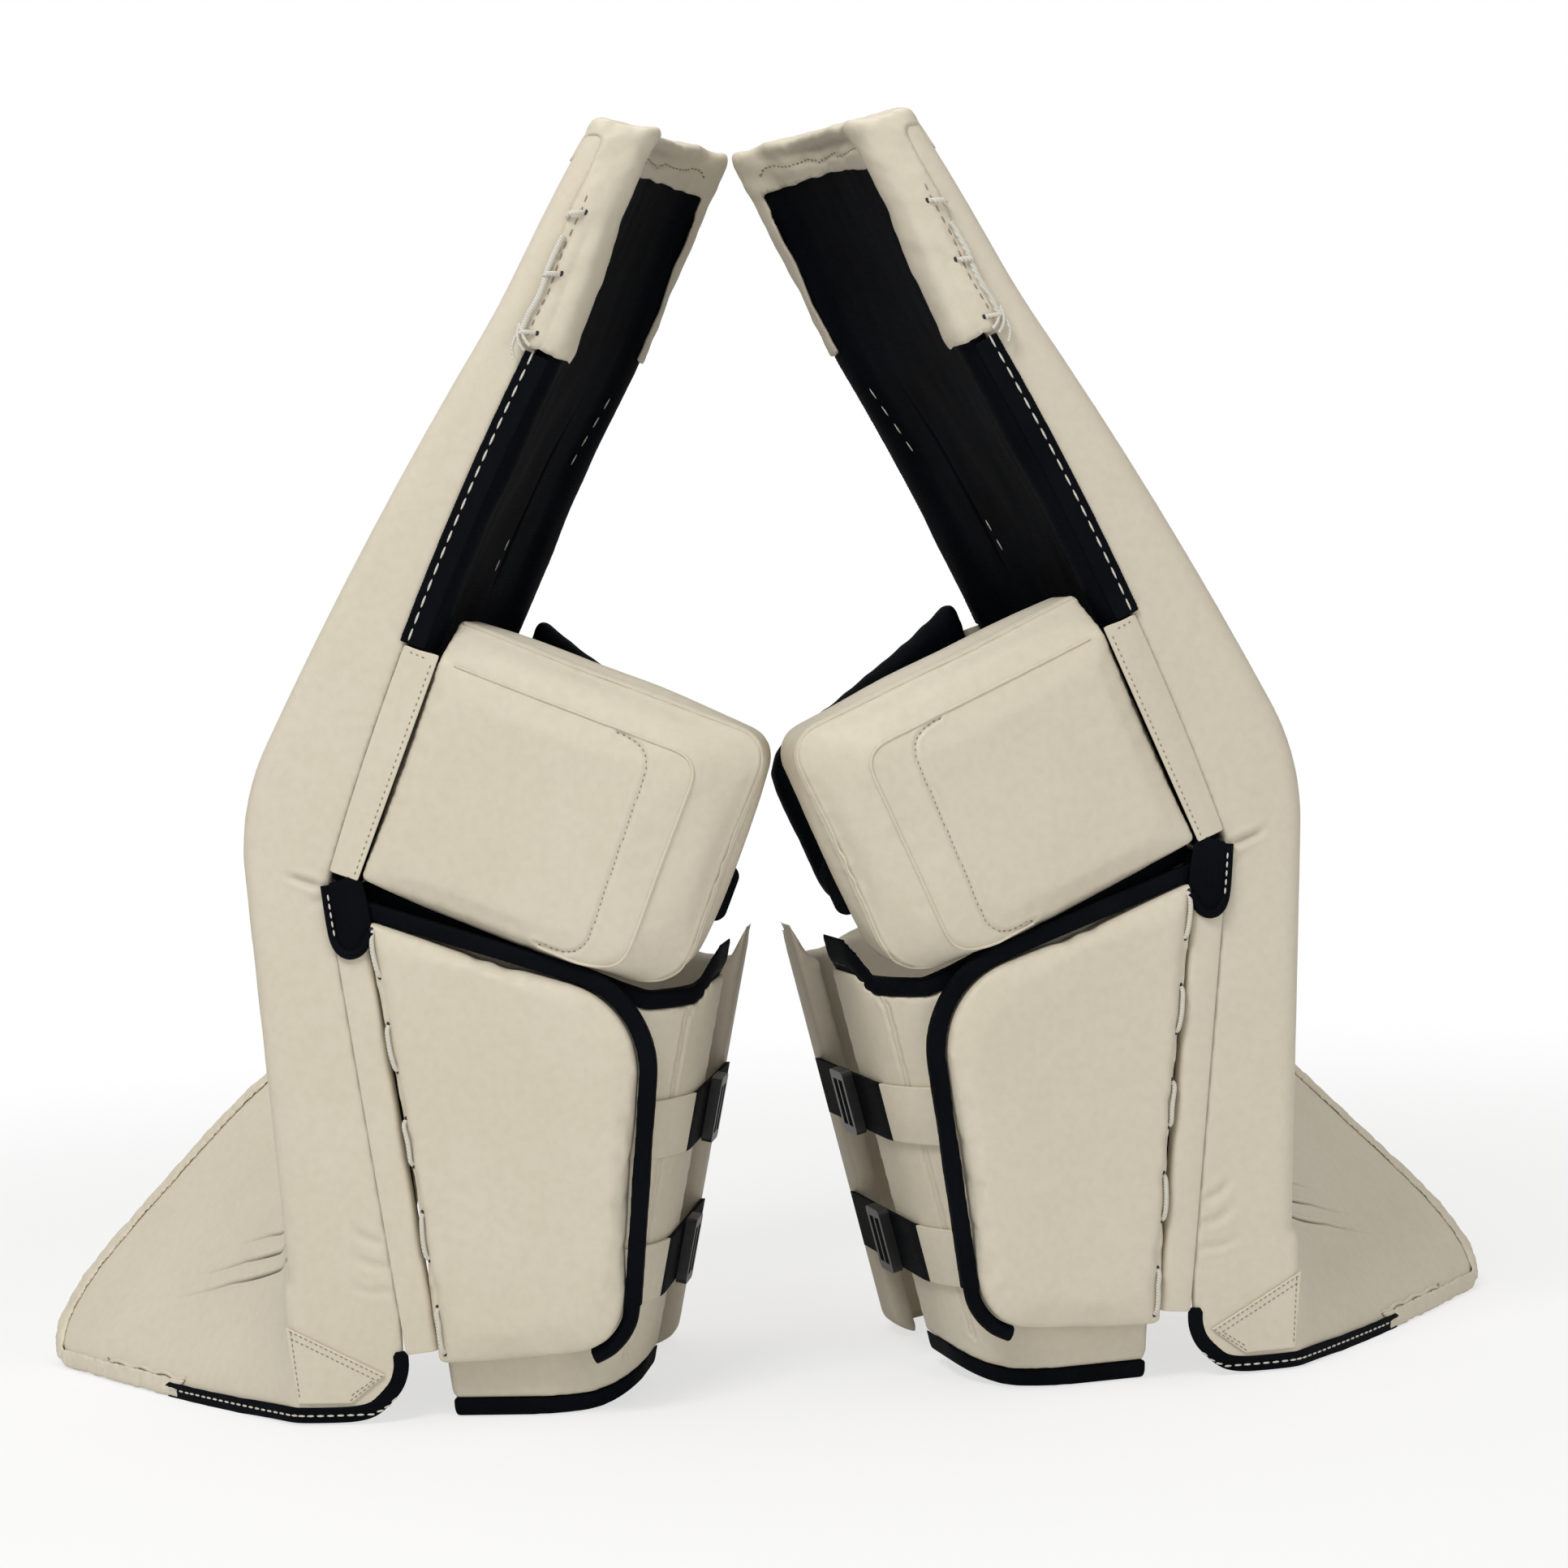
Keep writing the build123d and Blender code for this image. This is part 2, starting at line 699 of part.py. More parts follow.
def wrap_profile(y, inset):
    """The calf wrap's outline in the side view, inset from its top and foot; its rear line stays clear of the wrap."""
    top = [(x, z - inset) for x, z in wrap_top_line]
    with BuildSketch(side(y)) as outline:
        with BuildLine():
            Polyline((top[0][0], inset), *top, (top[-1][0] - wrap_margin, top[-1][1]),
                     (wrap_rear_foot - wrap_margin, inset), close=True)
        make_face()
        fillet(outline.vertices().group_by(Axis.Y)[0].sort_by(Axis.X)[:1], wrap_heel_rounding)
    return outline.sketch


def wrap_stock(face, end, outset=0.0, wall=wrap_wall, low=0.0, high=wrap_top):
    """A curved panel from the strip straight back, round the bend and on across the calf."""
    with BuildPart() as stock:
        rows = [wrap_section(z, face, outset, wall, shin_back(z, strip_width + clear), end) for z in (low, high)]
        loft(rows, ruled=True)
    return stock.part


def rear_plane(y, z, behind):
    """A plane on the wrap's rear, moved behind it; x runs laterally, y runs down."""
    lean = radians(wrap_rear_lean)
    return Plane((wrap_rear(z) - behind / cos(lean), y, z), x_dir=(0, 1, 0), z_dir=(-cos(lean), 0, -sin(lean)))


def make_calf_wrap():
    with BuildPart() as calf_wrap:
        add(wrap_stock(wrap_face, wrap_end))
        extrude(wrap_profile(0, binding_width + clear), amount=-pad_width, mode=Mode.INTERSECT)
    return calf_wrap.part


def make_calf_wrap_binding():
    with BuildPart() as calf_wrap_binding:
        extrude(wrap_profile(0, 0) - wrap_profile(0, binding_width), amount=-pad_width)
        add(wrap_stock(wrap_face, wrap_end), mode=Mode.INTERSECT)
    return calf_wrap_binding.part


def make_outer_calf_wing():
    with BuildPart() as outer_calf_wing:
        add(wrap_stock(0, outer_end))
        extrude(wrap_profile(0, 0), amount=-pad_width, mode=Mode.INTERSECT)
        mirror(about=Plane.XZ.offset(-pad_width / 2), mode=Mode.REPLACE)
    return outer_calf_wing.part


def band_of_wrap(height, end, first, last):
    """A strap's piece at one height, hugging the wrap's outside from one distance across to another."""
    outset = clear + strap_wall
    with BuildPart() as band:
        add(wrap_stock(wrap_face, end, outset, strap_wall, height - strap_width / 2, height + strap_width / 2))
        split(bisect_by=Plane.XZ.offset(-first), keep=Keep.BOTTOM)
        split(bisect_by=Plane.XZ.offset(-last), keep=Keep.TOP)
    return band.part


def make_calf_straps():
    with BuildPart() as calf_straps:
        for height in strap_heights:
            add(band_of_wrap(height, strap_end, strap_start, strap_end))
    return calf_straps.part


def make_strap_tabs():
    """The straps' tabs, wrapped forward round the bend."""
    with BuildPart() as strap_tabs:
        for height in strap_heights:
            add(band_of_wrap(height, strap_end, tab_start, strap_start - clear))
    return strap_tabs.part


def make_strap_buckles():
    """A ring buckle on each strap."""
    with BuildPart() as strap_buckles:
        for height in strap_heights:
            with BuildSketch(rear_plane(buckle_at, height, strap_wall + 2 * clear)):
                RectangleRounded(buckle_width, strap_width + buckle_frame, buckle_corner)
                with GridLocations(buckle_width / 2 - buckle_frame / 2, 0, 2, 1):
                    Rectangle(buckle_width / 2 - buckle_frame, strap_width - buckle_frame, mode=Mode.SUBTRACT)
            extrude(amount=buckle_wall)
    return strap_buckles.part


# ---- both pads ----
makers = {
    "thigh_cover": make_thigh_cover,
    "thigh_core": make_thigh_core,
    "thigh_liner": make_thigh_liner,
    "thigh_binding": make_thigh_binding,
    "thigh_cap": make_thigh_cap,
    "cap_laces": make_cap_laces,
    "knee_strips": make_knee_strips,
    "shin_cover": make_shin_cover,
    "shin_core": make_shin_core,
    "shin_liner": make_shin_liner,
    "shin_binding": make_shin_binding,
    "calf_strips": make_calf_strips,
    "outer_calf_wing": make_outer_calf_wing,
    "boot_cover": make_boot_cover,
    "boot_core": make_boot_core,
    "boot_wrap": make_boot_wrap,
    "boot_binding": make_boot_binding,
    "boot_patch": make_boot_patch,
    "knee_block": make_knee_block,
    "knee_strap": make_knee_strap,
    "knee_wing": make_knee_wing,
    "calf_wrap": make_calf_wrap,
    "calf_wrap_binding": make_calf_wrap_binding,
    "calf_straps": make_calf_straps,
    "strap_tabs": make_strap_tabs,
    "strap_buckles": make_strap_buckles,
    "calf_wing": make_calf_wing,
    "calf_wing_binding": make_calf_wing_binding,
    "calf_lace": make_calf_lace,
}
left_leg_place = Location((stance_half, 0, 0), (0, 0, yaw_left_leg))
right_leg_place = Location((stance_half, -right_leg_nearer, 0), (0, 0, yaw_right_leg))
pieces = {name: make() for name, make in makers.items()}


def placed(piece, leg):
    """A piece of the pad frame stood in its pad's place: the right leg's pad is the mirrored one."""
    if leg == "left":
        return piece.moved(left_leg_place)
    return mirror(piece.moved(right_leg_place), about=Plane.YZ)


both = {f"{leg}_{name}": placed(piece, leg) for leg in ("left", "right") for name, piece in pieces.items()}
bounds = Compound(children=list(both.values())).bounding_box()
to_origin = Location((-(bounds.min.X + bounds.max.X) / 2, -(bounds.min.Y + bounds.max.Y) / 2, -bounds.min.Z))

if __name__ == "__main__":
    os.makedirs("parts", exist_ok=True)
    for name, piece in both.items():
        with BuildPart() as stood:
            add(piece.moved(to_origin))
        stood.part.label = name
        export_step(stood.part, f"parts/{name}.step")
        box = piece.bounding_box()
        print(name, len(piece.solids()), round(piece.volume), piece.is_valid, [round(v) for v in (*box.min, *box.max)])
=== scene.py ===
import json
import math

import bmesh
import bpy
import numpy as np
from mathutils import Matrix, Vector, noise
from mathutils.bvhtree import BVHTree

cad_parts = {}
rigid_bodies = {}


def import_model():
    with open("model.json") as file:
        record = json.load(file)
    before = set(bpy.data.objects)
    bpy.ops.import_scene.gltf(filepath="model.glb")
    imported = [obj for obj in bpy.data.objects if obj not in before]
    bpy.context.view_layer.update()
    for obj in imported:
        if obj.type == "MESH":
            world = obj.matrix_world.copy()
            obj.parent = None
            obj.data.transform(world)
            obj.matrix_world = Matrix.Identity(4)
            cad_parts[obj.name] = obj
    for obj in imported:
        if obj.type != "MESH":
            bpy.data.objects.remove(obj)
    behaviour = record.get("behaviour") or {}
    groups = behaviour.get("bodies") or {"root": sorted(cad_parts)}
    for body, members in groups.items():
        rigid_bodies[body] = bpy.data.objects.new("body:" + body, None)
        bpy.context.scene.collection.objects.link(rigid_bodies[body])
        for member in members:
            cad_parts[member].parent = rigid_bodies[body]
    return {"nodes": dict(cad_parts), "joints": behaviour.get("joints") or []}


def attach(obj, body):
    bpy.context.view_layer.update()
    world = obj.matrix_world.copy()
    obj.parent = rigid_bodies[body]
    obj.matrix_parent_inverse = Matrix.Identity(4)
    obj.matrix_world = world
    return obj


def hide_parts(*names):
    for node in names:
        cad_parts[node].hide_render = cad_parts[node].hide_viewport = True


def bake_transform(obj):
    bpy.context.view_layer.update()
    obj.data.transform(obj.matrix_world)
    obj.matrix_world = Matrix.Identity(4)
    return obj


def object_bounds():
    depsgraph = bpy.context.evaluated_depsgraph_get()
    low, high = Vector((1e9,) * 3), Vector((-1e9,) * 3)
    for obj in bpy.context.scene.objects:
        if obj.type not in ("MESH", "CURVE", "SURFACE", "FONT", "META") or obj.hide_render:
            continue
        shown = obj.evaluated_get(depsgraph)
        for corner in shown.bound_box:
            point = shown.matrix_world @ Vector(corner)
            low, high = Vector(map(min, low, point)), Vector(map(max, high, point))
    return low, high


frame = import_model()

cad_lo, cad_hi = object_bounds()

# ---- leather casing ----
# One skin of coated leather wraps the thigh rise, shin and boot of each pad, drawn tight over the foam and
# folded at the knee break and across the instep. It is made as one closed skin and parted in the straight
# middle of the shin, each half over one fold.

# Each pad is made once, in its own frame and in millimetres: x runs forward from the knee break, y from
# medial to lateral, z up from the ice. The knee joints say where that frame stands for each leg. The right
# leg's pad is the mirror image of the left leg's.
UP = Vector((0, 0, 1))
KNEE_HEIGHT = 351.0
PAD_WIDTH = 280.0


def joint_of(name):
    return next(j for j in frame["joints"] if j["name"] == name)


def pad_place(leg):
    joint = joint_of(leg + "_knee_flex")
    mirrored = -1 if leg == "right" else 1
    lateral = mirrored * Vector(joint["axis"])
    forward = mirrored * lateral.cross(UP)
    origin = Vector(joint["pos_m"]) - lateral * PAD_WIDTH / 2000 - UP * KNEE_HEIGHT / 1000
    place = Matrix((forward, lateral, UP)).transposed().to_4x4()
    place.translation = origin
    return place @ Matrix.Scale(0.001, 4)


places = {"left": pad_place("left"), "right": pad_place("right")}
pad_frame = places["left"].inverted()

# the back edges of the thigh rise and of the shin, which the sidewalls, linings, strips and bindings follow
KNEE_BACK = Vector((-57, 0, 345))
THIGH_LEAN = math.radians(19)
THIGH_RADIUS = 1950.0
SHIN_LEAN = math.radians(7.2)
SHIN_FOOT = Vector((-99.45, 0, 0))
thigh_centre = KNEE_BACK - Vector((math.cos(THIGH_LEAN), 0, math.sin(THIGH_LEAN))) * THIGH_RADIUS


def only(*objects):
    bpy.ops.object.select_all(action="DESELECT")
    for o in objects:
        o.select_set(True)
    bpy.context.view_layer.objects.active = objects[0]


def placed(name, data):
    """A new object in the scene that holds the data."""
    made = bpy.data.objects.new(name, data)
    bpy.context.scene.collection.objects.link(made)
    return made


def edit_all(operator, **settings):
    """Runs an edit-mode operator on the whole of the active piece."""
    bpy.ops.object.mode_set(mode="EDIT")
    bpy.ops.mesh.select_all(action="SELECT")
    operator(**settings)
    bpy.ops.object.mode_set(mode="OBJECT")


def finish_with(piece, kind, **settings):
    only(piece)
    modifier = piece.modifiers.new(kind, kind)
    for key, value in settings.items():
        setattr(modifier, key, value)
    bpy.ops.object.modifier_apply(modifier=modifier.name)


def lift(name, *nodes):
    """Copies of the left pad's CAD nodes as one mesh in the pad's own frame, their doubles merged."""
    copies = []
    for node in nodes:
        source = frame["nodes"]["left_" + node]
        copy = placed(node, source.data.copy())
        copy.data.transform(pad_frame)
        copies.append(copy)
    only(*copies)
    if len(copies) > 1:
        bpy.ops.object.join()
    piece = bpy.context.view_layer.objects.active
    piece.name = name
    piece.data.materials.clear()
    edit_all(bpy.ops.mesh.remove_doubles, threshold=0.001)
    return piece


def stand(piece, body, *nodes, material, slot="leather", fill=None, blend=None):
    """Stands the finished piece in both pads, the right one's mirrored, where it rides on its body; a piece
    given a blend is fixed in place on no body.
    """
    name = piece.name
    only(piece)
    if not piece.data.materials:
        piece.data.materials.append(material)
    for leg, place in places.items():
        one = piece
        if leg == "left":
            one = placed(name, piece.data.copy())
        one.name = leg + "_" + name
        one.data.transform(place)
        if leg == "right":
            one.data.flip_normals()
        if blend:
            first, second, start, end = blend
            place @ Vector(start)
            place @ Vector(end)
            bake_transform(one)
        else:
            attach(one, leg + "_" + body)
        if nodes:
            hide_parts(*[leg + "_" + node for node in nodes])


CREAM = (0.72, 0.66, 0.535)
# dark colour drawn into the leather along folds and seams: painted shade, with dirt
CREASE_SHADE_AND_SOIL = (0.09, 0.07, 0.048, 1)


def plain_material(name):
    material = bpy.data.materials.new(name)
    material.use_nodes = True
    nodes = material.node_tree.nodes
    return material, nodes, material.node_tree.links, nodes["Principled BSDF"]


def toned(nodes, links, source, low, high, start=0.0, end=1.0):
    """A pattern's value turned into a colour between two, from start to end of its range."""
    ramp = nodes.new("ShaderNodeValToRGB")
    for element, position, colour in zip(ramp.color_ramp.elements, (start, end), (low, high)):
        element.position = position
        element.color = (*colour, 1)
    links.new(source, ramp.inputs["Fac"])
    return ramp.outputs["Color"]


def embossed(nodes, links, source, strength, distance):
    """A pattern's value pressed into the surface as fine relief."""
    bump = nodes.new("ShaderNodeBump")
    bump.inputs["Strength"].default_value = strength
    bump.inputs["Distance"].default_value = distance
    links.new(source, bump.inputs["Height"])
    links.new(bump.outputs["Normal"], nodes["Principled BSDF"].inputs["Normal"])


def leather(name, colour, grain=330.0, depth=0.22):
    material, nodes, links, shader = plain_material(name)
    shader.inputs["Specular IOR Level"].default_value = 0.35
    place = nodes.new("ShaderNodeTexCoord")
    cells = nodes.new("ShaderNodeTexVoronoi")
    cells.feature = "DISTANCE_TO_EDGE"
    cells.inputs["Scale"].default_value = grain
    pores = nodes.new("ShaderNodeTexNoise")
    pores.inputs["Scale"].default_value = grain * 3
    pores.inputs["Detail"].default_value = 3
    patches = nodes.new("ShaderNodeTexNoise")
    patches.inputs["Scale"].default_value = 6
    patches.inputs["Detail"].default_value = 6
    patches.inputs["Roughness"].default_value = 0.65
    specks = nodes.new("ShaderNodeTexNoise")
    specks.inputs["Scale"].default_value = grain / 2
    specks.inputs["Detail"].default_value = 2
    for node in (cells, pores, patches, specks):
        links.new(place.outputs["Object"], node.inputs["Vector"])
    aged = (colour[0] * 0.95, colour[1] * 0.94, colour[2] * 0.92)
    tint = toned(nodes, links, patches.outputs["Fac"], aged, colour, 0.32, 0.68)
    mottle = toned(nodes, links, specks.outputs["Fac"], (0.965, 0.96, 0.95), (1, 1, 1), 0.3, 0.62)
    shaded = nodes.new("ShaderNodeMix")
    shaded.data_type = "RGBA"
    shaded.blend_type = "MULTIPLY"
    shaded.inputs["Factor"].default_value = 1
    links.new(tint, shaded.inputs["A"])
    links.new(mottle, shaded.inputs["B"])
    # along folds and seams the attribute draws the colour towards the dark crease colour: painted shade, with
    # dirt
    crease_shade_and_dirt = nodes.new("ShaderNodeAttribute")
    crease_shade_and_dirt.attribute_name = "crease_shade_and_dirt"
    shaded_and_dirty = nodes.new("ShaderNodeMix")
    shaded_and_dirty.data_type = "RGBA"
    shaded_and_dirty.inputs["B"].default_value = CREASE_SHADE_AND_SOIL
    links.new(crease_shade_and_dirt.outputs["Fac"], shaded_and_dirty.inputs["Factor"])
    links.new(shaded.outputs["Result"], shaded_and_dirty.inputs["A"])
    links.new(shaded_and_dirty.outputs["Result"], shader.inputs["Base Color"])
    sheen = nodes.new("ShaderNodeMapRange")
    sheen.inputs["To Min"].default_value = 0.4
    sheen.inputs["To Max"].default_value = 0.58
    links.new(pores.outputs["Fac"], sheen.inputs["Value"])
    links.new(sheen.outputs["Result"], shader.inputs["Roughness"])
    height = nodes.new("ShaderNodeMath")
    height.operation = "MULTIPLY_ADD"
    height.inputs[1].default_value = 0.6
    links.new(cells.outputs["Distance"], height.inputs[0])
    links.new(pores.outputs["Fac"], height.inputs[2])
    embossed(nodes, links, height.outputs["Value"], depth, 0.0006)
    return material


casing_leather = leather("casing_leather", CREAM)


def even_skin(piece, voxel, smooth, hollow=False):
    """Remeshes closed solids into one even skin and smooths it; of a hollow one only the outside stays."""
    finish_with(piece, "REMESH", mode="VOXEL", voxel_size=voxel)
    if hollow:
        outermost = int(places_of(piece.data.vertices, "co")[:, 2].argmax())
        only(piece)
        for group in (piece.data.polygons, piece.data.edges, piece.data.vertices):
            group.foreach_set("select", [False] * len(group))
        piece.data.vertices[outermost].select = True
        bpy.ops.object.mode_set(mode="EDIT")
        bpy.ops.mesh.select_mode(type="VERT")
        bpy.ops.mesh.select_linked()
        bpy.ops.mesh.select_all(action="INVERT")
        bpy.ops.mesh.delete(type="VERT")
        bpy.ops.object.mode_set(mode="OBJECT")
    if smooth:
        finish_with(piece, "SMOOTH", factor=0.5, iterations=smooth)
    only(piece)
    bpy.ops.object.shade_smooth()


def surface(piece):
    bm = bmesh.new()
    bm.from_mesh(piece.data)
    tree = BVHTree.FromBMesh(bm)
    bm.free()
    return tree


def places_of(items, name, width=3):
    found = np.empty(len(items) * width)
    items.foreach_get(name, found)
    return found.reshape(-1, width)


def spaced(line, step):
    """Points along a line, step apart, with the way the line runs at each."""
    line = [Vector(p) for p in line]
    found, left = [], step / 2
    for a, b in zip(line, line[1:]):
        d = b - a
        at = left
        while at <= d.length:
            found.append((a + d.normalized() * at, d.normalized()))
            at += step
        left = at - d.length
    return found


def laid_on(piece, line, step=3.0):
    """The line pressed onto the piece's surface."""
    tree = surface(piece)
    return [tree.find_nearest(p)[0] for p, way in spaced(line, step)]


def line_gaps(points, line):
    """How far each point lies from a line, and how far along the line its nearest spot is, from 0 to 1."""
    line = np.array([tuple(p) for p in line])
    gaps, along = np.full(len(points), 1e9), np.zeros(len(points))
    for i, (a, b) in enumerate(zip(line, line[1:])):
        d = b - a
        t = np.clip((points - a) @ d / max(d @ d, 1e-9), 0, 1)
        g = np.linalg.norm(points - a - t[:, None] * d, axis=1)
        nearer = g < gaps
        gaps[nearer] = g[nearer]
        along[nearer] = (i + t[nearer]) / (len(line) - 1)
    return gaps, along


def move_out(piece, heights):
    """Moves each vertex along its normal."""
    mesh = piece.data
    points = places_of(mesh.vertices, "co") + places_of(mesh.vertices, "normal") * heights[:, None]
    mesh.vertices.foreach_set("co", points.ravel())
    mesh.update()


def near_box(points, line, reach):
    line = np.array([tuple(p) for p in line])
    return np.flatnonzero(((points > line.min(0) - reach) & (points < line.max(0) + reach)).all(1))


def refine(piece, line, reach, cuts=1):
    """Divides the piece's faces near a line, so that a fine fold can be pressed into them."""
    mesh = piece.data
    only(piece)
    centres = places_of(mesh.polygons, "center")
    close = near_box(centres, line, reach)
    gaps, along = line_gaps(centres[close], line)
    chosen = np.zeros(len(centres), bool)
    chosen[close[gaps < reach]] = True
    mesh.vertices.foreach_set("select", np.zeros(len(mesh.vertices), bool))
    mesh.edges.foreach_set("select", np.zeros(len(mesh.edges), bool))
    mesh.polygons.foreach_set("select", chosen)
    bpy.ops.object.mode_set(mode="EDIT")
    bpy.ops.mesh.select_mode(type="FACE")
    bpy.ops.mesh.subdivide(number_cuts=cuts)
    bpy.ops.object.mode_set(mode="OBJECT")


def crease(piece, line, width, depth, shade_and_dirt=0.0, taper="both", lip=0.0):
    """Presses a fold or a seam into the piece along a line, raises its lips and darkens it with painted shade
    and dirt.
    """
    mesh = piece.data
    attribute = mesh.attributes.get("crease_shade_and_dirt") or mesh.attributes.new("crease_shade_and_dirt", "FLOAT", "POINT")
    points = places_of(mesh.vertices, "co")
    close = near_box(points, line, width * 3)
    gaps, along = line_gaps(points[close], line)
    ends = 1.0
    if taper == "both":
        ends = np.minimum(1, 3 * np.minimum(along, 1 - along))
    elif taper == "end":
        ends = np.minimum(1, 1.6 * (1 - along))
    pull = np.exp(-((gaps / width) ** 2)) * ends
    rise = np.exp(-(((gaps - 2 * width) / width) ** 2)) * ends
    normals = places_of(mesh.vertices, "normal")[close]
    points[close] -= normals * (depth * pull - lip * rise)[:, None]
    mesh.vertices.foreach_set("co", points.ravel())
    # the darkening is painted shade and dirt, strongest in the bottom of the fold
    shade_and_soil = np.zeros(len(points))
    attribute.data.foreach_get("value", shade_and_soil)
    shade_and_soil[close] = np.minimum(1, shade_and_soil[close] + shade_and_dirt * pull ** 2)
    attribute.data.foreach_set("value", shade_and_soil)
    mesh.update()


def wedge(points):
    """The solid that joins two facing cut ends, as the hull of their corners."""
    mesh = bpy.data.meshes.new("wedge")
    mesh.from_pydata(points, [], [])
    solid = placed("wedge", mesh)
    only(solid)
    edit_all(bpy.ops.mesh.convex_hull)
    return solid


def packed_scoop(name, node, limit):
    """The foam that fills the channel's scoop flush with the sidewalls: the lining, its rolls pressed in."""
    piece = lift(name, node)
    for v in piece.data.vertices:
        v.co = limit(v.co)
    return piece


def sunk(y):
    """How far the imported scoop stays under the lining, none along the sidewalls."""
    return 0.5 + 9.0 * max(0.0, min(1.0, (min(y, PAD_WIDTH - y) - 8) / 12))


def flush_with_thigh(p):
    out = Vector((p.x - thigh_centre.x, 0, p.z - thigh_centre.z))
    radius = max(out.length + sunk(p.y) - 0.5, THIGH_RADIUS + 0.5)
    flat = thigh_centre + out.normalized() * radius
    return Vector((flat.x, p.y, flat.z))


def flush_with_shin(p):
    behind = (p - SHIN_FOOT).dot(Vector((-math.cos(SHIN_LEAN), 0, math.sin(SHIN_LEAN))))
    flat = min(behind - sunk(p.y) + 0.5, -0.5)
    return p + Vector((math.cos(SHIN_LEAN), 0, -math.sin(SHIN_LEAN))) * (behind - flat)


TOP_LEAN, TOP_SLANT = math.radians(36.6), 20.0
top_axis = Vector((-math.sin(TOP_LEAN), 0, math.cos(TOP_LEAN)))
TOP_NORMAL = (top_axis * PAD_WIDTH - Vector((0, TOP_SLANT, 0))).normalized()
RAISED_REACH, RAISED_FRONT, RAISED_BACK = 125.0, 15.0, 32.0
cap_box = lift("cap_box", "thigh_cap")
TOP = max((v.co.copy() for v in cap_box.data.vertices), key=lambda p: p.dot(TOP_NORMAL)) - TOP_NORMAL * 2.3


def cap_level(p):
    """How far inside the cap's edges a point of the top end lies."""
    out = Vector((p.x - thigh_centre.x, 0, p.z - thigh_centre.z))
    along = (math.atan2(out.z, out.x) - THIGH_LEAN) * THIGH_RADIUS
    behind = THIGH_RADIUS - out.length
    below = (TOP - p).dot(TOP_NORMAL)
    side = min(p.y, PAD_WIDTH - p.y)
    wave = noise.noise(p / 24) * 5 + noise.noise(p / 9) * 1.5
    leg = min(along - 358 - p.y / 14 + 0.3 * wave, behind + 12 + 0.3 * wave, 25 - side + 0.6 * wave)
    inner = max(behind + 12, min(side - 6, behind + 45))
    return max(leg, 12 - below + 0.3 * wave, min(27 - below + 0.4 * wave, inner))


def tuck(piece, depth):
    """Draws the part of a piece that lies under the cap a little inwards."""
    levels = np.array([cap_level(v.co) if v.co.z > 600 else 0 for v in piece.data.vertices])
    move_out(piece, -depth * np.clip((levels - 2) / 6, 0, 1))


def raise_top(piece):
    """Draws the top end up into the stuffed, level rim that the cap's gathers give it, most at its back."""
    points = places_of(piece.data.vertices, "co")
    top, normal, centre = np.array(TOP), np.array(TOP_NORMAL), np.array(thigh_centre)
    below = (top - points) @ normal
    behind = THIGH_RADIUS - np.hypot(points[:, 0] - centre[0], points[:, 2] - centre[2])
    share = np.clip((RAISED_REACH - below) / RAISED_REACH, 0, 1)
    share = share ** 2 * (3 - 2 * share)
    rise = share * (RAISED_FRONT + RAISED_BACK * np.clip((behind + 65) / 80, 0, 1))
    points += rise[:, None] * np.array((-0.2, 0, 0.98))
    piece.data.vertices.foreach_set("co", points.ravel())
    piece.data.update()


def soften_top(piece, rounds):
    """Rounds the top end, more towards its edge, as leather drawn over foam rounds."""
    group = piece.vertex_groups.new(name="top")
    for v in piece.data.vertices:
        below = (TOP - v.co).dot(TOP_NORMAL)
        weight = max(0.0, min(1.0, (60 - below) / 30))
        if weight:
            group.add([v.index], weight, "REPLACE")
    finish_with(piece, "SMOOTH", factor=0.5, iterations=rounds, vertex_group="top")
    piece.vertex_groups.clear()


PARTED_AT = 285.0
boot_joint = joint_of("left_boot_flex")
ankle_at = pad_frame @ Vector(boot_joint["pos_m"])
ankle_line = -(pad_frame.to_3x3() @ Vector(boot_joint["axis"])).normalized()
ankle_up = Vector((1, 0, 0)).cross(ankle_line).normalized()
bpy.data.objects.remove(cap_box)
casing = lift("casing", "thigh_cover", "shin_cover", "boot_cover")
knee_ends = [v.co.copy() for v in casing.data.vertices if 335.5 < v.co.z < 352.6]
shin_end = [v.co.copy() for v in casing.data.vertices if abs((v.co - ankle_at).dot(ankle_up)) < 0.3]
boot_end = [v.co.copy() for v in casing.data.vertices if -17 < (v.co - ankle_at).dot(ankle_up) < -0.5]
foam = lift("foam", "thigh_core", "shin_core", "boot_core")
fillers = [
    wedge(knee_ends),
    wedge(shin_end + boot_end),
    packed_scoop("thigh_scoop", "thigh_liner", flush_with_thigh),
    packed_scoop("shin_scoop", "shin_liner", flush_with_shin),
]
only(casing, foam, *fillers)
bpy.ops.object.join()
even_skin(casing, 2.8, 6, hollow=True)
soften_top(casing, 34)
tuck(casing, 5.0)
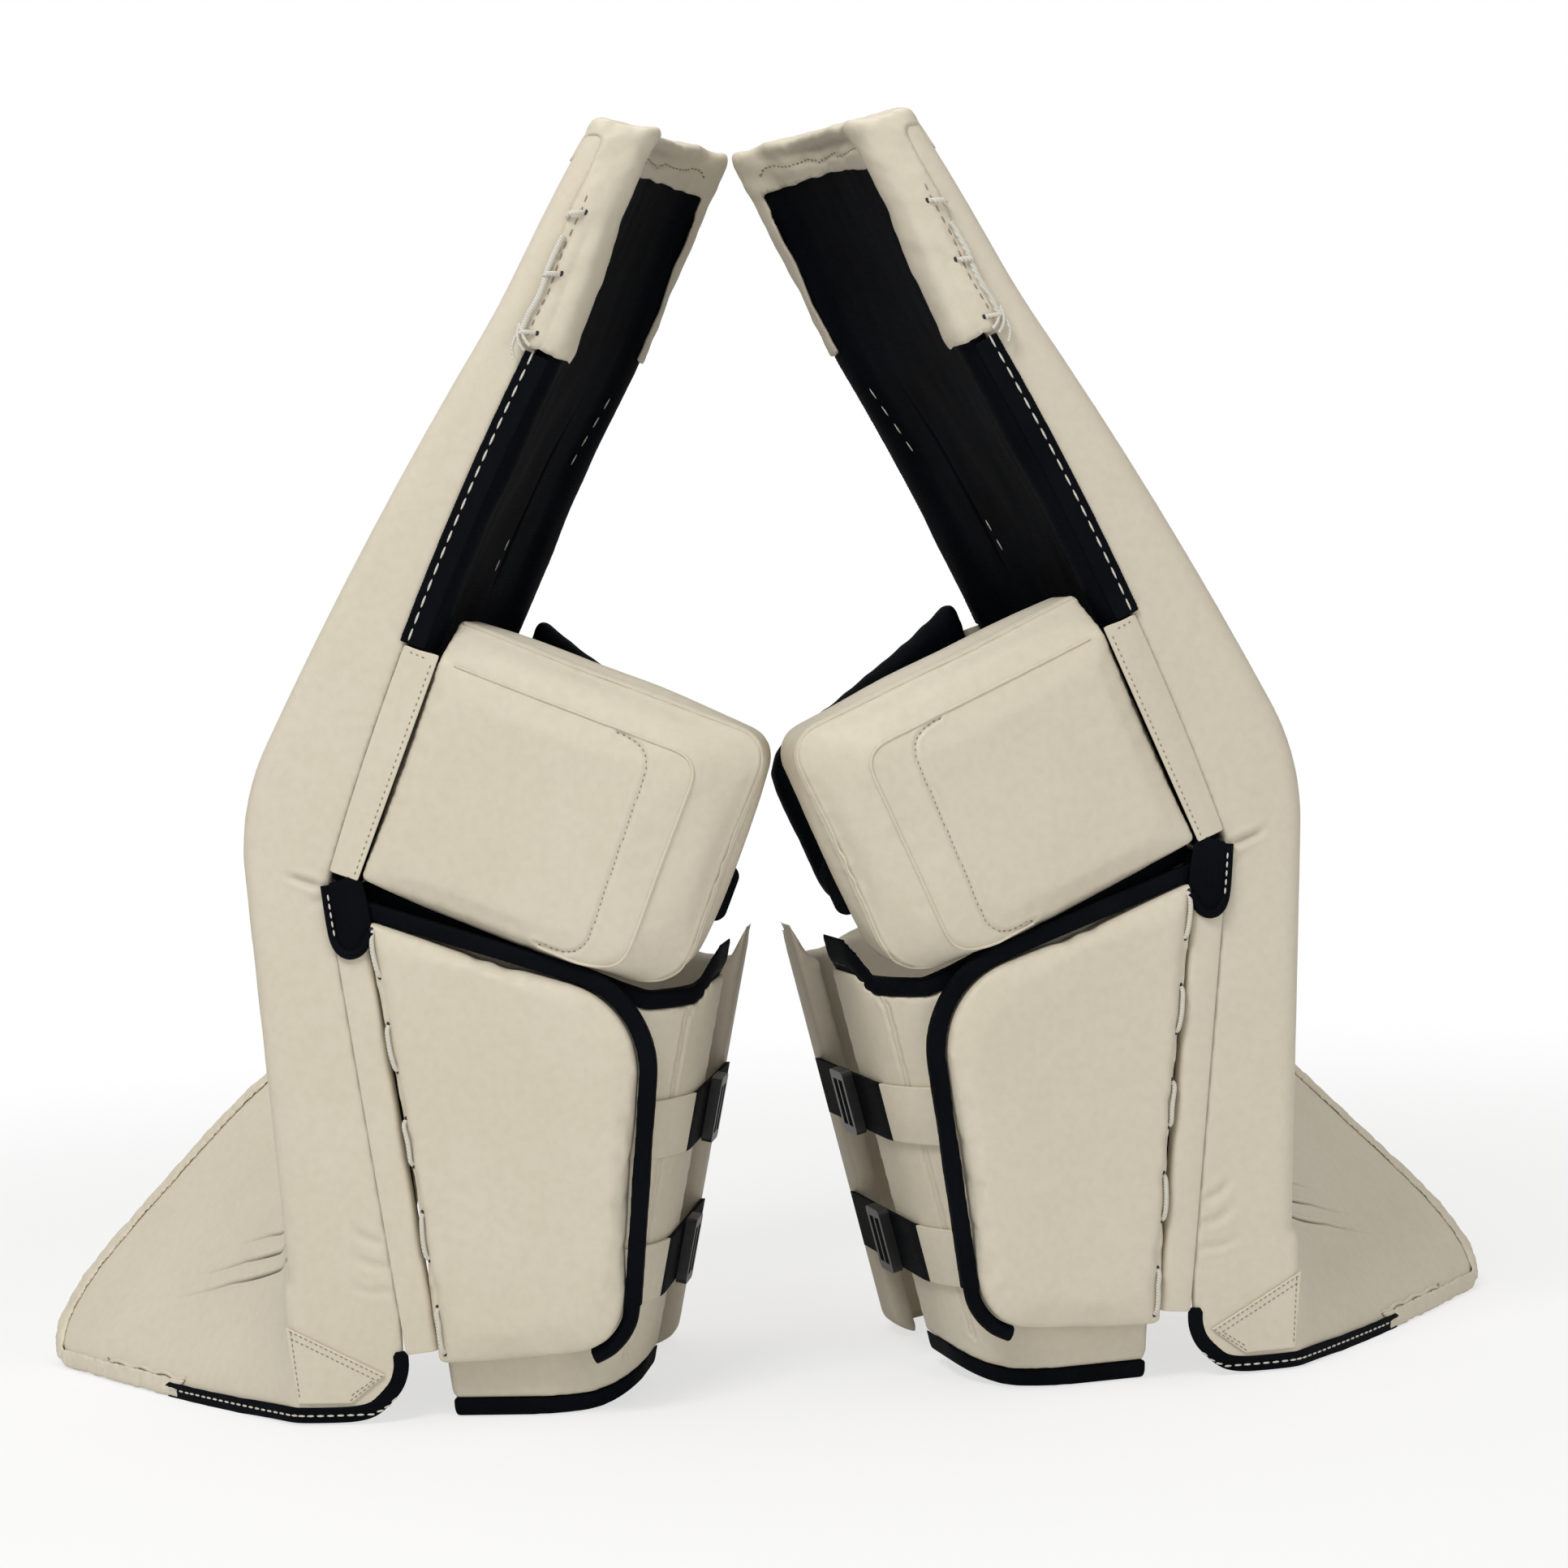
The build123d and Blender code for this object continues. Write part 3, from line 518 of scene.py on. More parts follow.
# folds at the knee break, low on the shin and across the boot; the fourth number darkens each with painted
# shade and dirt
for line, width, depth, shade_and_dirt in (
    (((-58, 0, 339), (-47, 0, 344), (-25, 0, 352)), 2.4, 2.2, 0.25),
    (((-60, 0, 333), (-48, 0, 333), (-38, 0, 331)), 3.0, 1.0, 0.0),
    (((-58, 280, 339), (-47, 280, 344), (-25, 280, 352)), 2.4, 2.2, 0.25),
    (((-88, 0, 112), (-70, 0, 118), (-58, 0, 128)), 3.0, 1.4, 0.05),
    (((-92, 0, 98), (-72, 0, 101), (-56, 0, 110)), 3.0, 1.2, 0.05),
    (((-94, 0, 84), (-70, 0, 84), (-52, 0, 90)), 2.6, 1.0, 0.05),
    (((0, 28, 104), (52, 105, 72), (106, 152, 46)), 1.25, 1.5, 1.0),
    (((0, 28, 121), (45, 105, 88), (91, 150, 64)), 1.25, 1.5, 1.0),
    (((0, 30, 137), (30, 95, 110), (62, 132, 93)), 1.2, 1.4, 0.95),
    (((0, 34, 151), (16, 85, 130), (30, 106, 121)), 1.1, 1.2, 0.9),
):
    fold = laid_on(casing, line)
    refine(casing, fold, width * 4)
    if width < 2:
        refine(casing, fold, width * 3)
    crease(casing, fold, width, depth, shade_and_dirt, "end" if width < 2 else "both", lip=depth * 0.3)
casing.name = "upper_casing"
lower = placed("lower_casing", casing.data.copy())
for piece, gone in ((casing, "clear_inner"), (lower, "clear_outer")):
    only(piece)
    edit_all(bpy.ops.mesh.bisect, plane_co=(0, 0, PARTED_AT), plane_no=UP, **{gone: True})
casing_tree = surface(lower)
raise_top(casing)
stand(casing, None, "thigh_cover", "shin_cover", "thigh_core", "shin_core", material=casing_leather, fill=0.9,
      blend=("shin", "thigh", (-26, 140, 333), (-31, 140, 361)))
fold_middle = ankle_at + ankle_line * 140
stand(lower, None, "boot_cover", "boot_core", material=casing_leather, fill=0.9,
      blend=("shin", "boot", fold_middle + ankle_up * 12, fold_middle - ankle_up * 14))


# ---- boot trim ----
# The toe and the lateral edge of the boot are wrapped in a strip of the same leather, sewn on, and the sole's
# medial edge is bound in black. A double-stitched patch covers the corner that drags on the ice.
def thread(name, colour, twist=900.0):
    material, nodes, links, shader = plain_material(name)
    shader.inputs["Roughness"].default_value = 0.6
    shader.inputs["Sheen Weight"].default_value = 0.2
    place = nodes.new("ShaderNodeTexCoord")
    ply = nodes.new("ShaderNodeTexWave")
    ply.bands_direction = "DIAGONAL"
    ply.inputs["Scale"].default_value = twist / 3
    ply.inputs["Distortion"].default_value = 0.8
    links.new(place.outputs["Object"], ply.inputs["Vector"])
    tint = toned(nodes, links, ply.outputs["Fac"], [c * 0.72 for c in colour], colour)
    links.new(tint, shader.inputs["Base Color"])
    embossed(nodes, links, ply.outputs["Fac"], 0.5, 0.0004)
    return material


white_thread = thread("white_thread", (0.78, 0.75, 0.66))
sunk_thread = thread("sunk_thread", (0.34, 0.28, 0.205))
# near-black discs that stand in for the shade inside lace holes: painted shade
hole_shade = thread("hole_shade", (0.012, 0.011, 0.010))


def stitches(name, target, lines, length, pitch, width, rise=0.35):
    """Short thread stitches along lines pressed onto a piece, all of one row in one mesh."""
    bpy.ops.object.select_all(action="DESELECT")
    bpy.ops.mesh.primitive_uv_sphere_add(segments=6, ring_count=4, radius=0.5, location=(0, 0, 0))
    one = bpy.context.object
    one.data.transform(Matrix.Rotation(math.pi / 2, 4, "Y"))
    one.data.transform(Matrix.Diagonal((length, width, width * 0.8, 1)))
    tree = target
    if not isinstance(target, BVHTree):
        tree = surface(target)
    bm = bmesh.new()
    for line in lines:
        for point, way in spaced(line, pitch):
            spot, normal = tree.find_nearest(point)[:2]
            side = normal.cross(way).normalized()
            ahead = side.cross(normal).normalized()
            turn = Matrix((ahead, side, normal)).transposed().to_4x4()
            turn.translation = spot + normal * rise
            before = len(bm.verts)
            bm.from_mesh(one.data)
            bm.verts.ensure_lookup_table()
            bmesh.ops.transform(bm, matrix=turn, verts=bm.verts[before:])
    bm.to_mesh(one.data)
    bm.free()
    one.name = name
    only(one)
    bpy.ops.object.shade_smooth()
    return one


def nylon(name, colour, weave=1400.0, depth=0.35):
    material, nodes, links, shader = plain_material(name)
    shader.inputs["Specular IOR Level"].default_value = 0.07
    shader.inputs["Sheen Weight"].default_value = 0.0
    shader.inputs["Sheen Roughness"].default_value = 0.4
    shader.inputs["Roughness"].default_value = 0.7
    place = nodes.new("ShaderNodeTexCoord")
    warp = nodes.new("ShaderNodeTexWave")
    warp.bands_direction = "Z"
    weft = nodes.new("ShaderNodeTexWave")
    weft.bands_direction = "Y"
    for node in (warp, weft):
        node.inputs["Scale"].default_value = weave / 6
        node.inputs["Distortion"].default_value = 0.6
        links.new(place.outputs["Object"], node.inputs["Vector"])
    threads = nodes.new("ShaderNodeMath")
    threads.operation = "MAXIMUM"
    links.new(warp.outputs["Fac"], threads.inputs[0])
    links.new(weft.outputs["Fac"], threads.inputs[1])
    embossed(nodes, links, threads.outputs["Value"], depth, 0.0004)
    patches = nodes.new("ShaderNodeTexNoise")
    patches.inputs["Scale"].default_value = 22
    patches.inputs["Detail"].default_value = 5
    links.new(place.outputs["Object"], patches.inputs["Vector"])
    dark, light = [c * 0.7 for c in colour], [c * 1.6 for c in colour]
    tint = toned(nodes, links, patches.outputs["Fac"], dark, light, 0.35, 0.75)
    links.new(tint, shader.inputs["Base Color"])
    return material


NAVY = (0.0016, 0.0024, 0.0045)
binding_nylon = nylon("binding_nylon", NAVY, 1800)


def wrinkle(piece, size, depth, stretch=(1, 1, 1), seed=0.0):
    """Slight waves in the surface, stretched along the way the material pulls."""
    offset = Vector((seed, seed * 1.7, seed * 0.3))
    points = places_of(piece.data.vertices, "co")
    waves = [noise.noise(Vector(p) + offset) for p in points * np.array(stretch) / size]
    move_out(piece, depth * np.array(waves))


def eased(line, rounds):
    """The line with its corners eased and its ends kept."""
    for i in range(rounds):
        middle = [(a + b * 2 + c) / 4 for a, b, c in zip(line, line[1:], line[2:])]
        line = [line[0]] + middle + [line[-1]]
    return line


def ribbon(name, line, width, wall, normal, tree=None, rise=0.0, step=3.0):
    """A flat band with rounded edges and ends along a line, its face square to the normal at each place."""
    stations = spaced(line, step)
    spots = [tree.find_nearest(p)[0] if tree else p for p, way in stations]
    spots = eased(spots, 6 if tree else 0)
    ends = zip([spots[0]] + spots, spots[1:] + [spots[-1]])
    ways = [(b - a).normalized() for a, b in ends if (b - a).length]
    stations = [(p, Vector(normal(p)), way) for p, way in zip(spots, ways)]
    points, faces, ring = [], [], 16
    for i, (spot, out, way) in enumerate(stations):
        end = min(i, len(stations) - 1 - i) * step
        size = min(1.0, 0.35 + end / (0.3 * width))
        side = out.cross(way).normalized()
        out = way.cross(side).normalized()
        for k in range(ring):
            t = 2 * math.pi * k / ring
            c, h = math.cos(t), math.sin(t)
            c = math.copysign(abs(c) ** 0.35, c) * width / 2 * size ** 0.5
            h = math.copysign(abs(h) ** 0.7, h) * wall / 2
            points.append(spot + side * c + out * (h + rise))
    count = len(stations)
    for i in range(count - 1):
        for k in range(ring):
            a, b = i * ring + k, i * ring + (k + 1) % ring
            faces.append((a, b, b + ring, a + ring))
    faces.append(tuple(range(ring)))
    faces.append(tuple((count - 1) * ring + k for k in range(ring)))
    mesh = bpy.data.meshes.new(name)
    mesh.from_pydata(points, [], faces)
    band = placed(name, mesh)
    only(band)
    edit_all(bpy.ops.mesh.normals_make_consistent, inside=False)
    bpy.ops.object.shade_smooth_by_angle(angle=math.radians(50))
    return band


def lace(name, runs, thick, rows=8):
    """Round cords along runs of points, as one closed mesh."""
    curve = bpy.data.curves.new(name, "CURVE")
    curve.dimensions = "3D"
    curve.bevel_depth = thick / 2
    curve.bevel_resolution = 2
    curve.use_fill_caps = True
    for run in runs:
        spline = curve.splines.new("NURBS")
        spline.points.add(len(run) - 1)
        for point, place in zip(spline.points, run):
            point.co = (*place, 1)
        spline.order_u = 3
        spline.use_endpoint_u = True
        spline.resolution_u = rows
    only(placed(name, curve))
    bpy.ops.object.convert(target="MESH")
    cord = bpy.context.object
    bpy.ops.object.shade_smooth()
    return cord


def over(tree, point, height):
    spot, normal = tree.find_nearest(Vector(point))[:2]
    return spot + normal * height


edge_wrap = lift("edge_wrap", "boot_wrap")
even_skin(edge_wrap, 1.2, 3)
wrinkle(edge_wrap, 9, 0.9, seed=2.0)
wrinkle(edge_wrap, 3.5, 0.4, seed=5.0)
edge_wrap_tree = surface(edge_wrap)
stand(edge_wrap, "boot", "boot_wrap", material=casing_leather)

toe_centre, rim = Vector((52, 128, 78)), []
across_toe = ankle_line
down_toe = Vector((0.8, 0.42, -0.43)).normalized()
down_toe = (down_toe - across_toe * down_toe.dot(across_toe)).normalized()
for i in range(-14, 74):
    angle = math.radians(4 * i)
    way = across_toe * math.cos(angle) + down_toe * math.sin(angle)
    last = None
    for step in range(10, 230, 2):
        spot = casing_tree.find_nearest(toe_centre + way * step)[0]
        if edge_wrap_tree.find_nearest(spot)[3] < 2.6:
            last = spot
            break
    rim.append(last)
runs, current = [], []
for spot in rim:
    if spot is None or current and (spot - current[-1]).length > 34:
        runs.append(current)
        current = []
    if spot is not None:
        current.append(spot)
toe_line = eased(max(runs + [current], key=len), 3)
crest = [over(casing_tree, p + UP * 1.2 * math.sin(i * 1.3), 0.6)
         for i, (p, way) in enumerate(spaced(toe_line, 6))]
stand(lace("edge_wrap_ridge", [crest], 2.6, 3), "boot", material=casing_leather)
wrap_thread = stitches("edge_wrap_thread", casing_tree, [toe_line], 5.0, 12.0, 1.5)
stand(wrap_thread, "boot", material=sunk_thread, slot="lace")


def on_shin(behind, up, y):
    c, s = math.cos(SHIN_LEAN), math.sin(SHIN_LEAN)
    return SHIN_FOOT + Vector((-c * behind + s * up, y, s * behind + c * up))


sole_line = [
    on_shin(-4, 48, -0.4), on_shin(-4, 28, -0.4), (-90, -0.4, 13), (-82, -0.4, 8), (-70, -0.4, 6),
    (-40, -0.4, 5.5), (-20, -0.4, 5.5), (10, 17, 5.5), (60, 48, 5.5), (104, 77, 5.5),
]


def sole_side(p):
    turn = max(0.0, min(1.0, (p.x + 30) / 25))
    return Vector((0.532 * turn, -1 + 0.154 * turn, 0)).normalized()


sole_binding = ribbon("sole_binding", sole_line, 10.0, 2.6, sole_side, casing_tree, 0.9)
sole_thread = stitches("sole_thread", surface(sole_binding),
                       [[Vector(p) + 6 * sole_side(Vector(p)) for p in sole_line[2:]]], 5.0, 6.6, 1.4)
stand(sole_binding, "boot", "boot_binding", material=binding_nylon, slot="binding")
stand(sole_thread, "boot", material=white_thread, slot="lace")

corner_patch = lift("corner_patch", "boot_patch")
even_skin(corner_patch, 0.8, 2)
PATCH_TOP, PATCH_REAR = (-17, -2, 60.5), (-76.5, -2, 30.2)
patch_rows = [
    [PATCH_TOP, PATCH_REAR, (-56, -2, 15.5)],
    [(-17.6, -2, 55.8), (-71.5, -2, 28.6), (-57, -2, 18.8)],
    [(-18.6, -2, 60), (-22.6, -2, 15.5)],
]
patch_thread = stitches("patch_thread", corner_patch, patch_rows, 2.4, 3.6, 0.8, 0.15)
stand(corner_patch, "boot", "boot_patch", material=casing_leather)
stand(patch_thread, "boot", material=sunk_thread, slot="lace")

# ---- channel lining ----
# The back of the thigh rise and of the shin is lined with black nylon over soft foam, which stands in a roll
# along both edges and dips in the middle, where the leg lies.
liner_nylon = nylon("liner_nylon", NAVY)


def on_thigh(along, behind, y):
    angle = THIGH_LEAN + along / THIGH_RADIUS
    out = Vector((math.cos(angle), 0, math.sin(angle)))
    return thigh_centre + out * (THIGH_RADIUS - behind) + Vector((0, y, 0))


thigh_lining = lift("thigh_lining", "thigh_liner")
even_skin(thigh_lining, 4.0, 4)
wrinkle(thigh_lining, 55, 2.2, (1, 1.6, 0.5), 3.0)
wrinkle(thigh_lining, 22, 0.9, (1, 1.6, 0.4), 8.0)
finish_with(thigh_lining, "SUBSURF", levels=1, render_levels=1)
for middle, y in ((250, 60), (262, 210)):
    line = [on_thigh(a, 4, y + 0.06 * (a - middle)) for a in range(middle - 90, middle + 91, 15)]
    seam = laid_on(thigh_lining, line)
    refine(thigh_lining, seam, 6)
    crease(thigh_lining, seam, 1.6, 1.6)
lining_thread = stitches("lining_thread", thigh_lining, [
    [on_thigh(a, 14, PAD_WIDTH - 40 + (a - 300) / 9) for a in range(290, 350, 6)],
    [on_thigh(a, 14, 44 - (a - 300) / 12) for a in range(300, 372, 6)],
    [on_thigh(a, 10, 196 + (a - 200) / 7) for a in range(205, 235, 6)]], 9.0, 15.0, 1.2)
stand(lining_thread, "thigh", material=white_thread, slot="lace")
tuck(thigh_lining, 4.0)
raise_top(thigh_lining)
stand(thigh_lining, "thigh", "thigh_liner", material=liner_nylon, slot="lining", fill=0.7)

shin_lining = lift("shin_lining", "shin_liner")
even_skin(shin_lining, 4.0, 4)
wrinkle(shin_lining, 50, 1.6, (1, 1.6, 0.5), 6.0)
finish_with(shin_lining, "SUBSURF", levels=1, render_levels=1)
stand(shin_lining, "shin", "shin_liner", material=liner_nylon, slot="lining", fill=0.7)

# ---- thigh binding ----
# Between the sidewall and the lining roll runs a bound black edge, sewn down with a long white stitch.
thigh_binding = lift("thigh_binding", "thigh_binding")
even_skin(thigh_binding, 1.1, 4)
rows = [[on_thigh(a, 0.5, y) for a in range(160, 357, 4)] for y in (-2.5, PAD_WIDTH + 2.5)]
binding_thread = stitches("thigh_binding_thread", thigh_binding, rows, 8.6, 11.0, 1.5)
raise_top(thigh_binding)
raise_top(binding_thread)
stand(thigh_binding, "thigh", "thigh_binding", material=binding_nylon, slot="binding")
stand(binding_thread, "thigh", material=white_thread, slot="lace")

# ---- cap ----
# A white leather cap is drawn over the top end and down both back edges, gathered and sewn along a wavy inner
# seam, and laced to the sidewall with a cord that is tied off at its foot.
def trim_to(piece, level):
    """Cuts the piece along the line where the level is zero and keeps the part above it."""
    bm = bmesh.new()
    bm.from_mesh(piece.data)
    heights = {v: level(v.co) for v in bm.verts}
    for e in bm.edges:
        a, b = e.verts
        ha, hb = heights[a], heights[b]
        if ha * hb < 0:
            t = ha / (ha - hb)
            v = a if t < 0.5 else b
            v.co = a.co.lerp(b.co, t)
            heights[v] = 0.0
    gone = []
    for f in bm.faces:
        levels = [heights[v] for v in f.verts]
        if sum(levels) <= 0 or min(levels) < -0.01:
            gone.append(f)
    bmesh.ops.delete(bm, geom=gone, context="FACES")
    rim = [e for e in bm.edges if e.is_boundary]
    for i in range(5):
        sums = {}
        for e in rim:
            for v, w in (e.verts, reversed(e.verts)):
                sums.setdefault(v, []).append(w.co.copy())
        for v, near in sums.items():
            if len(near) == 2:
                v.co = (v.co * 2 + near[0] + near[1]) / 4
    bm.to_mesh(piece.data)
    bm.free()


cap = lift("cap", "thigh_cover", "thigh_core", "thigh_liner")
only(cap)
edit_all(bpy.ops.mesh.bisect, plane_co=(0, 0, 560), plane_no=UP, clear_inner=True, use_fill=True)
even_skin(cap, 2.2, 6, hollow=True)
soften_top(cap, 40)
trim_to(cap, cap_level)
move_out(cap, np.full(len(cap.data.vertices), 2.0))
wrinkle(cap, 40, 3.0, seed=1.0)
wrinkle(cap, 17, 1.4, (1, 0.7, 1.4), 4.0)
wrinkle(cap, 7, 0.4, (1, 0.7, 1.4), 7.0)


def below_top(y, behind, below):
    """The place on the thigh's back that lies so far below the top end."""
    along = 430.0
    for i in range(8):
        along += (TOP - on_thigh(along, behind, y)).dot(TOP_NORMAL) - below
    return on_thigh(along, behind, y)


def rim_point(y, below):
    """A place on the cap's inner rim, which dips between the two sides."""
    return below_top(y, 2 - 6 * math.sin(math.pi * (y - 20) / 240), below)


stitch_row = [on_thigh(a, -6 + 0.8 * math.sin(a / 6), -3) for a in range(362, 432, 3)]
lateral_row = [Vector((p.x, PAD_WIDTH - p.y, p.z)) for p in stitch_row[8:]]
# the groove under the cap's rim and the two seam rows are darkened with painted shade, with a little dirt
crease(cap, laid_on(cap, [rim_point(y, 10) for y in range(26, 256, 6)]), 5.5, 4.5, 0.3)
rim_row = [rim_point(y, 16 + 1.2 * math.sin(y / 8)) for y in range(26, 256, 4)]
crease(cap, laid_on(cap, rim_row), 1.8, 1.0, 0.2)
crease(cap, laid_on(cap, stitch_row), 1.8, 0.9, 0.12)
cap_tree = surface(cap)
cap_thread = stitches("cap_thread", cap_tree, [stitch_row, lateral_row, rim_row], 3.4, 5.4, 1.2, 0.2)
finish_with(cap, "SOLIDIFY", thickness=1.8, offset=-1)
only(cap)
bpy.ops.object.shade_smooth()
raise_top(cap)
raise_top(cap_thread)
stand(cap, "thigh", "thigh_cap", material=casing_leather)
stand(cap_thread, "thigh", material=sunk_thread, slot="lace")


TIE_ALONG = (421, 393, 364)
TIE_ARCH = ((-1, -1.2), (-0.93, 0.6), (-0.5, 3.2), (0, 4.0), (0.5, 3.2), (0.93, 0.6), (1, -1.2))
ties = []
for along in TIE_ALONG:
    ties.append([over(cap_tree, on_thigh(along + 1.8 * t, -10 + 7.5 * t, -3), h) for t, h in TIE_ARCH])
run = [over(cap_tree, on_thigh(a, -10.5 + 1.0 * math.sin(a / 5), -3), 1.2) for a in range(363, 412, 4)]
foot = over(cap_tree, on_thigh(363, -9, -3), 1.0)
loose = [[foot + Vector(p) for p in ends] for ends in (
    ((3, 0, 6), (1, -2.5, 1), (-1, -3.5, -4), (-4, -3, -7)),
    ((3, 0, 6), (4, -3, 1), (3, -3.5, -5), (0, -2.5, -9)),
    ((4, -1, 2), (6, -3, -3), (8, -3, -8), (6, -2, -14)),
)]
cap_lace = lace("cap_lace", ties, 2.4)
cap_run = lace("cap_run", [run], 4.2)
cap_ends = lace("cap_ends", loose, 2.0)
only(cap_lace, cap_run, cap_ends)
bpy.ops.object.join()
# near-black discs where the cap's lace goes in: painted shade inside its holes
holes = stitches("cap_hole_shade", cap_tree, [[on_thigh(a + 1.8 * t, -10 + 8.2 * t, -3),
                                           on_thigh(a + 1.8 * t + 0.4, -10 + 8.2 * t, -3)]
                                          for a in TIE_ALONG for t in (-1, 1)], 2.6, 0.2, 2.6, 0.0)
raise_top(cap_lace)
raise_top(holes)
stand(cap_lace, "thigh", "cap_laces", material=white_thread, slot="lace")
stand(holes, "thigh", material=hole_shade, slot="lace")

# ---- knee strips ----
# A strip of leather behind each sidewall hinges the knee block and the knee wing, sewn onto their faces.
def strip_sheet(name, rows, length, wall):
    """A leather strip through rows from its front edge to its rear edge, each a curve along its length."""
    count, points, faces = 60, [], []
    for i in range(count + 1):
        for row in rows:
            points.append(row(length * i / count))
    width = len(rows)
    for i in range(count):
        for k in range(width - 1):
            a = i * width + k
            faces.append((a, a + 1, a + 1 + width, a + width))
    mesh = bpy.data.meshes.new(name)
    mesh.from_pydata(points, [], faces)
    sheet = placed(name, mesh)
    finish_with(sheet, "SUBSURF", levels=1, render_levels=1)
    finish_with(sheet, "SOLIDIFY", thickness=wall, offset=0)
    only(sheet)
    edit_all(bpy.ops.mesh.normals_make_consistent, inside=False)
    finish_with(sheet, "BEVEL", width=wall * 0.4, segments=3, limit_method="ANGLE",
                angle_limit=math.radians(50))
    only(sheet)
    bpy.ops.object.shade_smooth_by_angle(angle=math.radians(40))
    return sheet


def across(p, lateral):
    """The same place on the other side of the pad."""
    return Vector((p.x, PAD_WIDTH - p.y, p.z)) if lateral else p


BLOCK_TURN = math.radians(23)


def on_block(back, up, y):
    c, s = math.cos(BLOCK_TURN), math.sin(BLOCK_TURN)
    return on_thigh(8, 19, y) + Vector((-c * back - s * up, 0, -s * back + c * up))


STRIP_LENGTH = 151.0
for side, body, lateral in (("medial", "knee_block", False), ("lateral", "knee_wing", True)):
    name = side + "_knee_strip"
    strip = strip_sheet(name, [
        lambda up: across(on_thigh(7 + up, -1.2, -0.1), lateral),
        lambda up: across(on_thigh(7 + up, 2.0, -0.9), lateral),
        lambda up: across(on_thigh(7 + up, 9.0, -2.6), lateral),
        lambda up: across(on_block(-5, up - 1, -3.5), lateral),
        lambda up: across(on_block(-1.6, up - 1, -3.8), lateral),
        lambda up: across(on_block(-0.5, up - 1, -3.8), lateral),
    ], STRIP_LENGTH, 1.7)
    rear = [across(on_block(-3.6, u, -5.6), lateral) for u in range(1, 148, 3)]
    top = [across(on_thigh(155, b, -0.6 - 0.24 * b), lateral) for b in range(3, 17, 2)]
    seam = stitches(name + "_thread", strip, [rear, top], 2.0, 4.2, 1.0, 0.1)
    hinge = ("thigh", body, across(on_thigh(80, 8, 0), lateral), across(on_thigh(80, 21, 0), lateral))
    if lateral:
        stand(strip, None, material=casing_leather, blend=hinge)
    else:
        stand(strip, None, "knee_strips", material=casing_leather, blend=hinge)
    stand(seam, body, material=sunk_thread, slot="lace")

# ---- knee block ----
# A bevelled block of dense foam in leather stands inside the knee. A welt runs round its medial face, and a
# sewn line with rounded corners marks the panel on it. A webbing strap crosses its inner face.
def puff(piece, pressure=4.0, cap=5.0, frames=20):
    """Blows the piece up like a stuffed pad, moving no point further than cap."""
    before = [v.co.copy() for v in piece.data.vertices]
    only(piece)
    piece.data.transform(Matrix.Scale(0.001, 4))
    cloth = piece.modifiers.new("Cloth", "CLOTH")
    cloth.settings.use_pressure = True
    cloth.settings.uniform_pressure_force = pressure
    cloth.settings.effector_weights.gravity = 0
    cloth.settings.tension_stiffness = 40
    cloth.settings.compression_stiffness = 40
    cloth.settings.bending_stiffness = 4
    cloth.point_cache.frame_start = 1
    cloth.point_cache.frame_end = frames
    for f in range(1, frames + 1):
        bpy.context.scene.frame_set(f)
    bpy.ops.object.modifier_apply(modifier=cloth.name)
    bpy.context.scene.frame_set(1)
    piece.data.transform(Matrix.Scale(1000, 4))
    for v, old in zip(piece.data.vertices, before):
        move = v.co - old
        if move.length > cap:
            v.co = old + move * (cap / move.length)
    finish_with(piece, "SMOOTH", factor=0.5, iterations=3)


BLOCK_FACE = -4.0
block = lift("knee_block", "knee_block")
even_skin(block, 2.5, 3)
puff(block, 3.0, 4.0)
wrinkle(block, 60, 0.8, seed=2.5)


def rounded(corners, radius, steps=6):
    """A line through corners, each inner one turned on a small arc."""
    corners = [Vector(c) for c in corners]
    found = [corners[0]]
    for before, corner, after in zip(corners, corners[1:], corners[2:]):
        a = corner + (before - corner).normalized() * radius
        b = corner + (after - corner).normalized() * radius
        for i in range(steps + 1):
            t = i / steps
            found.append(a.lerp(corner, t).lerp(corner.lerp(b, t), t))
    return found + [corners[-1]]


face_line, rear_line, panel_line = [
    rounded([on_block(back, up, y) for back, up in corners], radius) for corners, y, radius in (
        (((8, 148), (176, 148), (176, 0.5), (120, 0.5)), BLOCK_FACE, 17),
        (((0, 173), (211, 173), (211, 0), (60, 0)), 20, 20),
        (((120, 146), (147, 143), (150, 5), (118, 3)), BLOCK_FACE, 18))]
# the rear line and the panel seam are darkened a little with painted shade and dirt
for line, width, depth in ((rear_line, 1.6, 1.0), (panel_line, 1.4, 1.1)):
    line = laid_on(block, line)
    refine(block, line, 6)
    crease(block, line, width, depth, 0.12, taper=None, lip=0.4)
block_tree = surface(block)
panel_thread = stitches("panel_thread", block_tree, [panel_line], 2.0, 3.9, 1.0, 0.1)
piping = lace("block_piping", [[over(block_tree, p, 0.3) for p, way in spaced(line, 5)]
                               for line in (face_line, rear_line)], 2.2, 3)
stand(block, "knee_block", "knee_block", material=casing_leather, fill=0.85)
stand(panel_thread, "knee_block", material=sunk_thread, slot="lace")
stand(piping, "knee_block", material=casing_leather)

# ---- knee wings ----
# A flat padded wing of black nylon stands on the outer side of the knee.
wing = lift("knee_wing", "knee_wing")
even_skin(wing, 4.0, 5)
puff(wing, 3.0, 4.0)
finish_with(wing, "SUBSURF", levels=1, render_levels=1)
stand(wing, "knee_wing", "knee_wing", material=liner_nylon, slot="lining", fill=0.8)

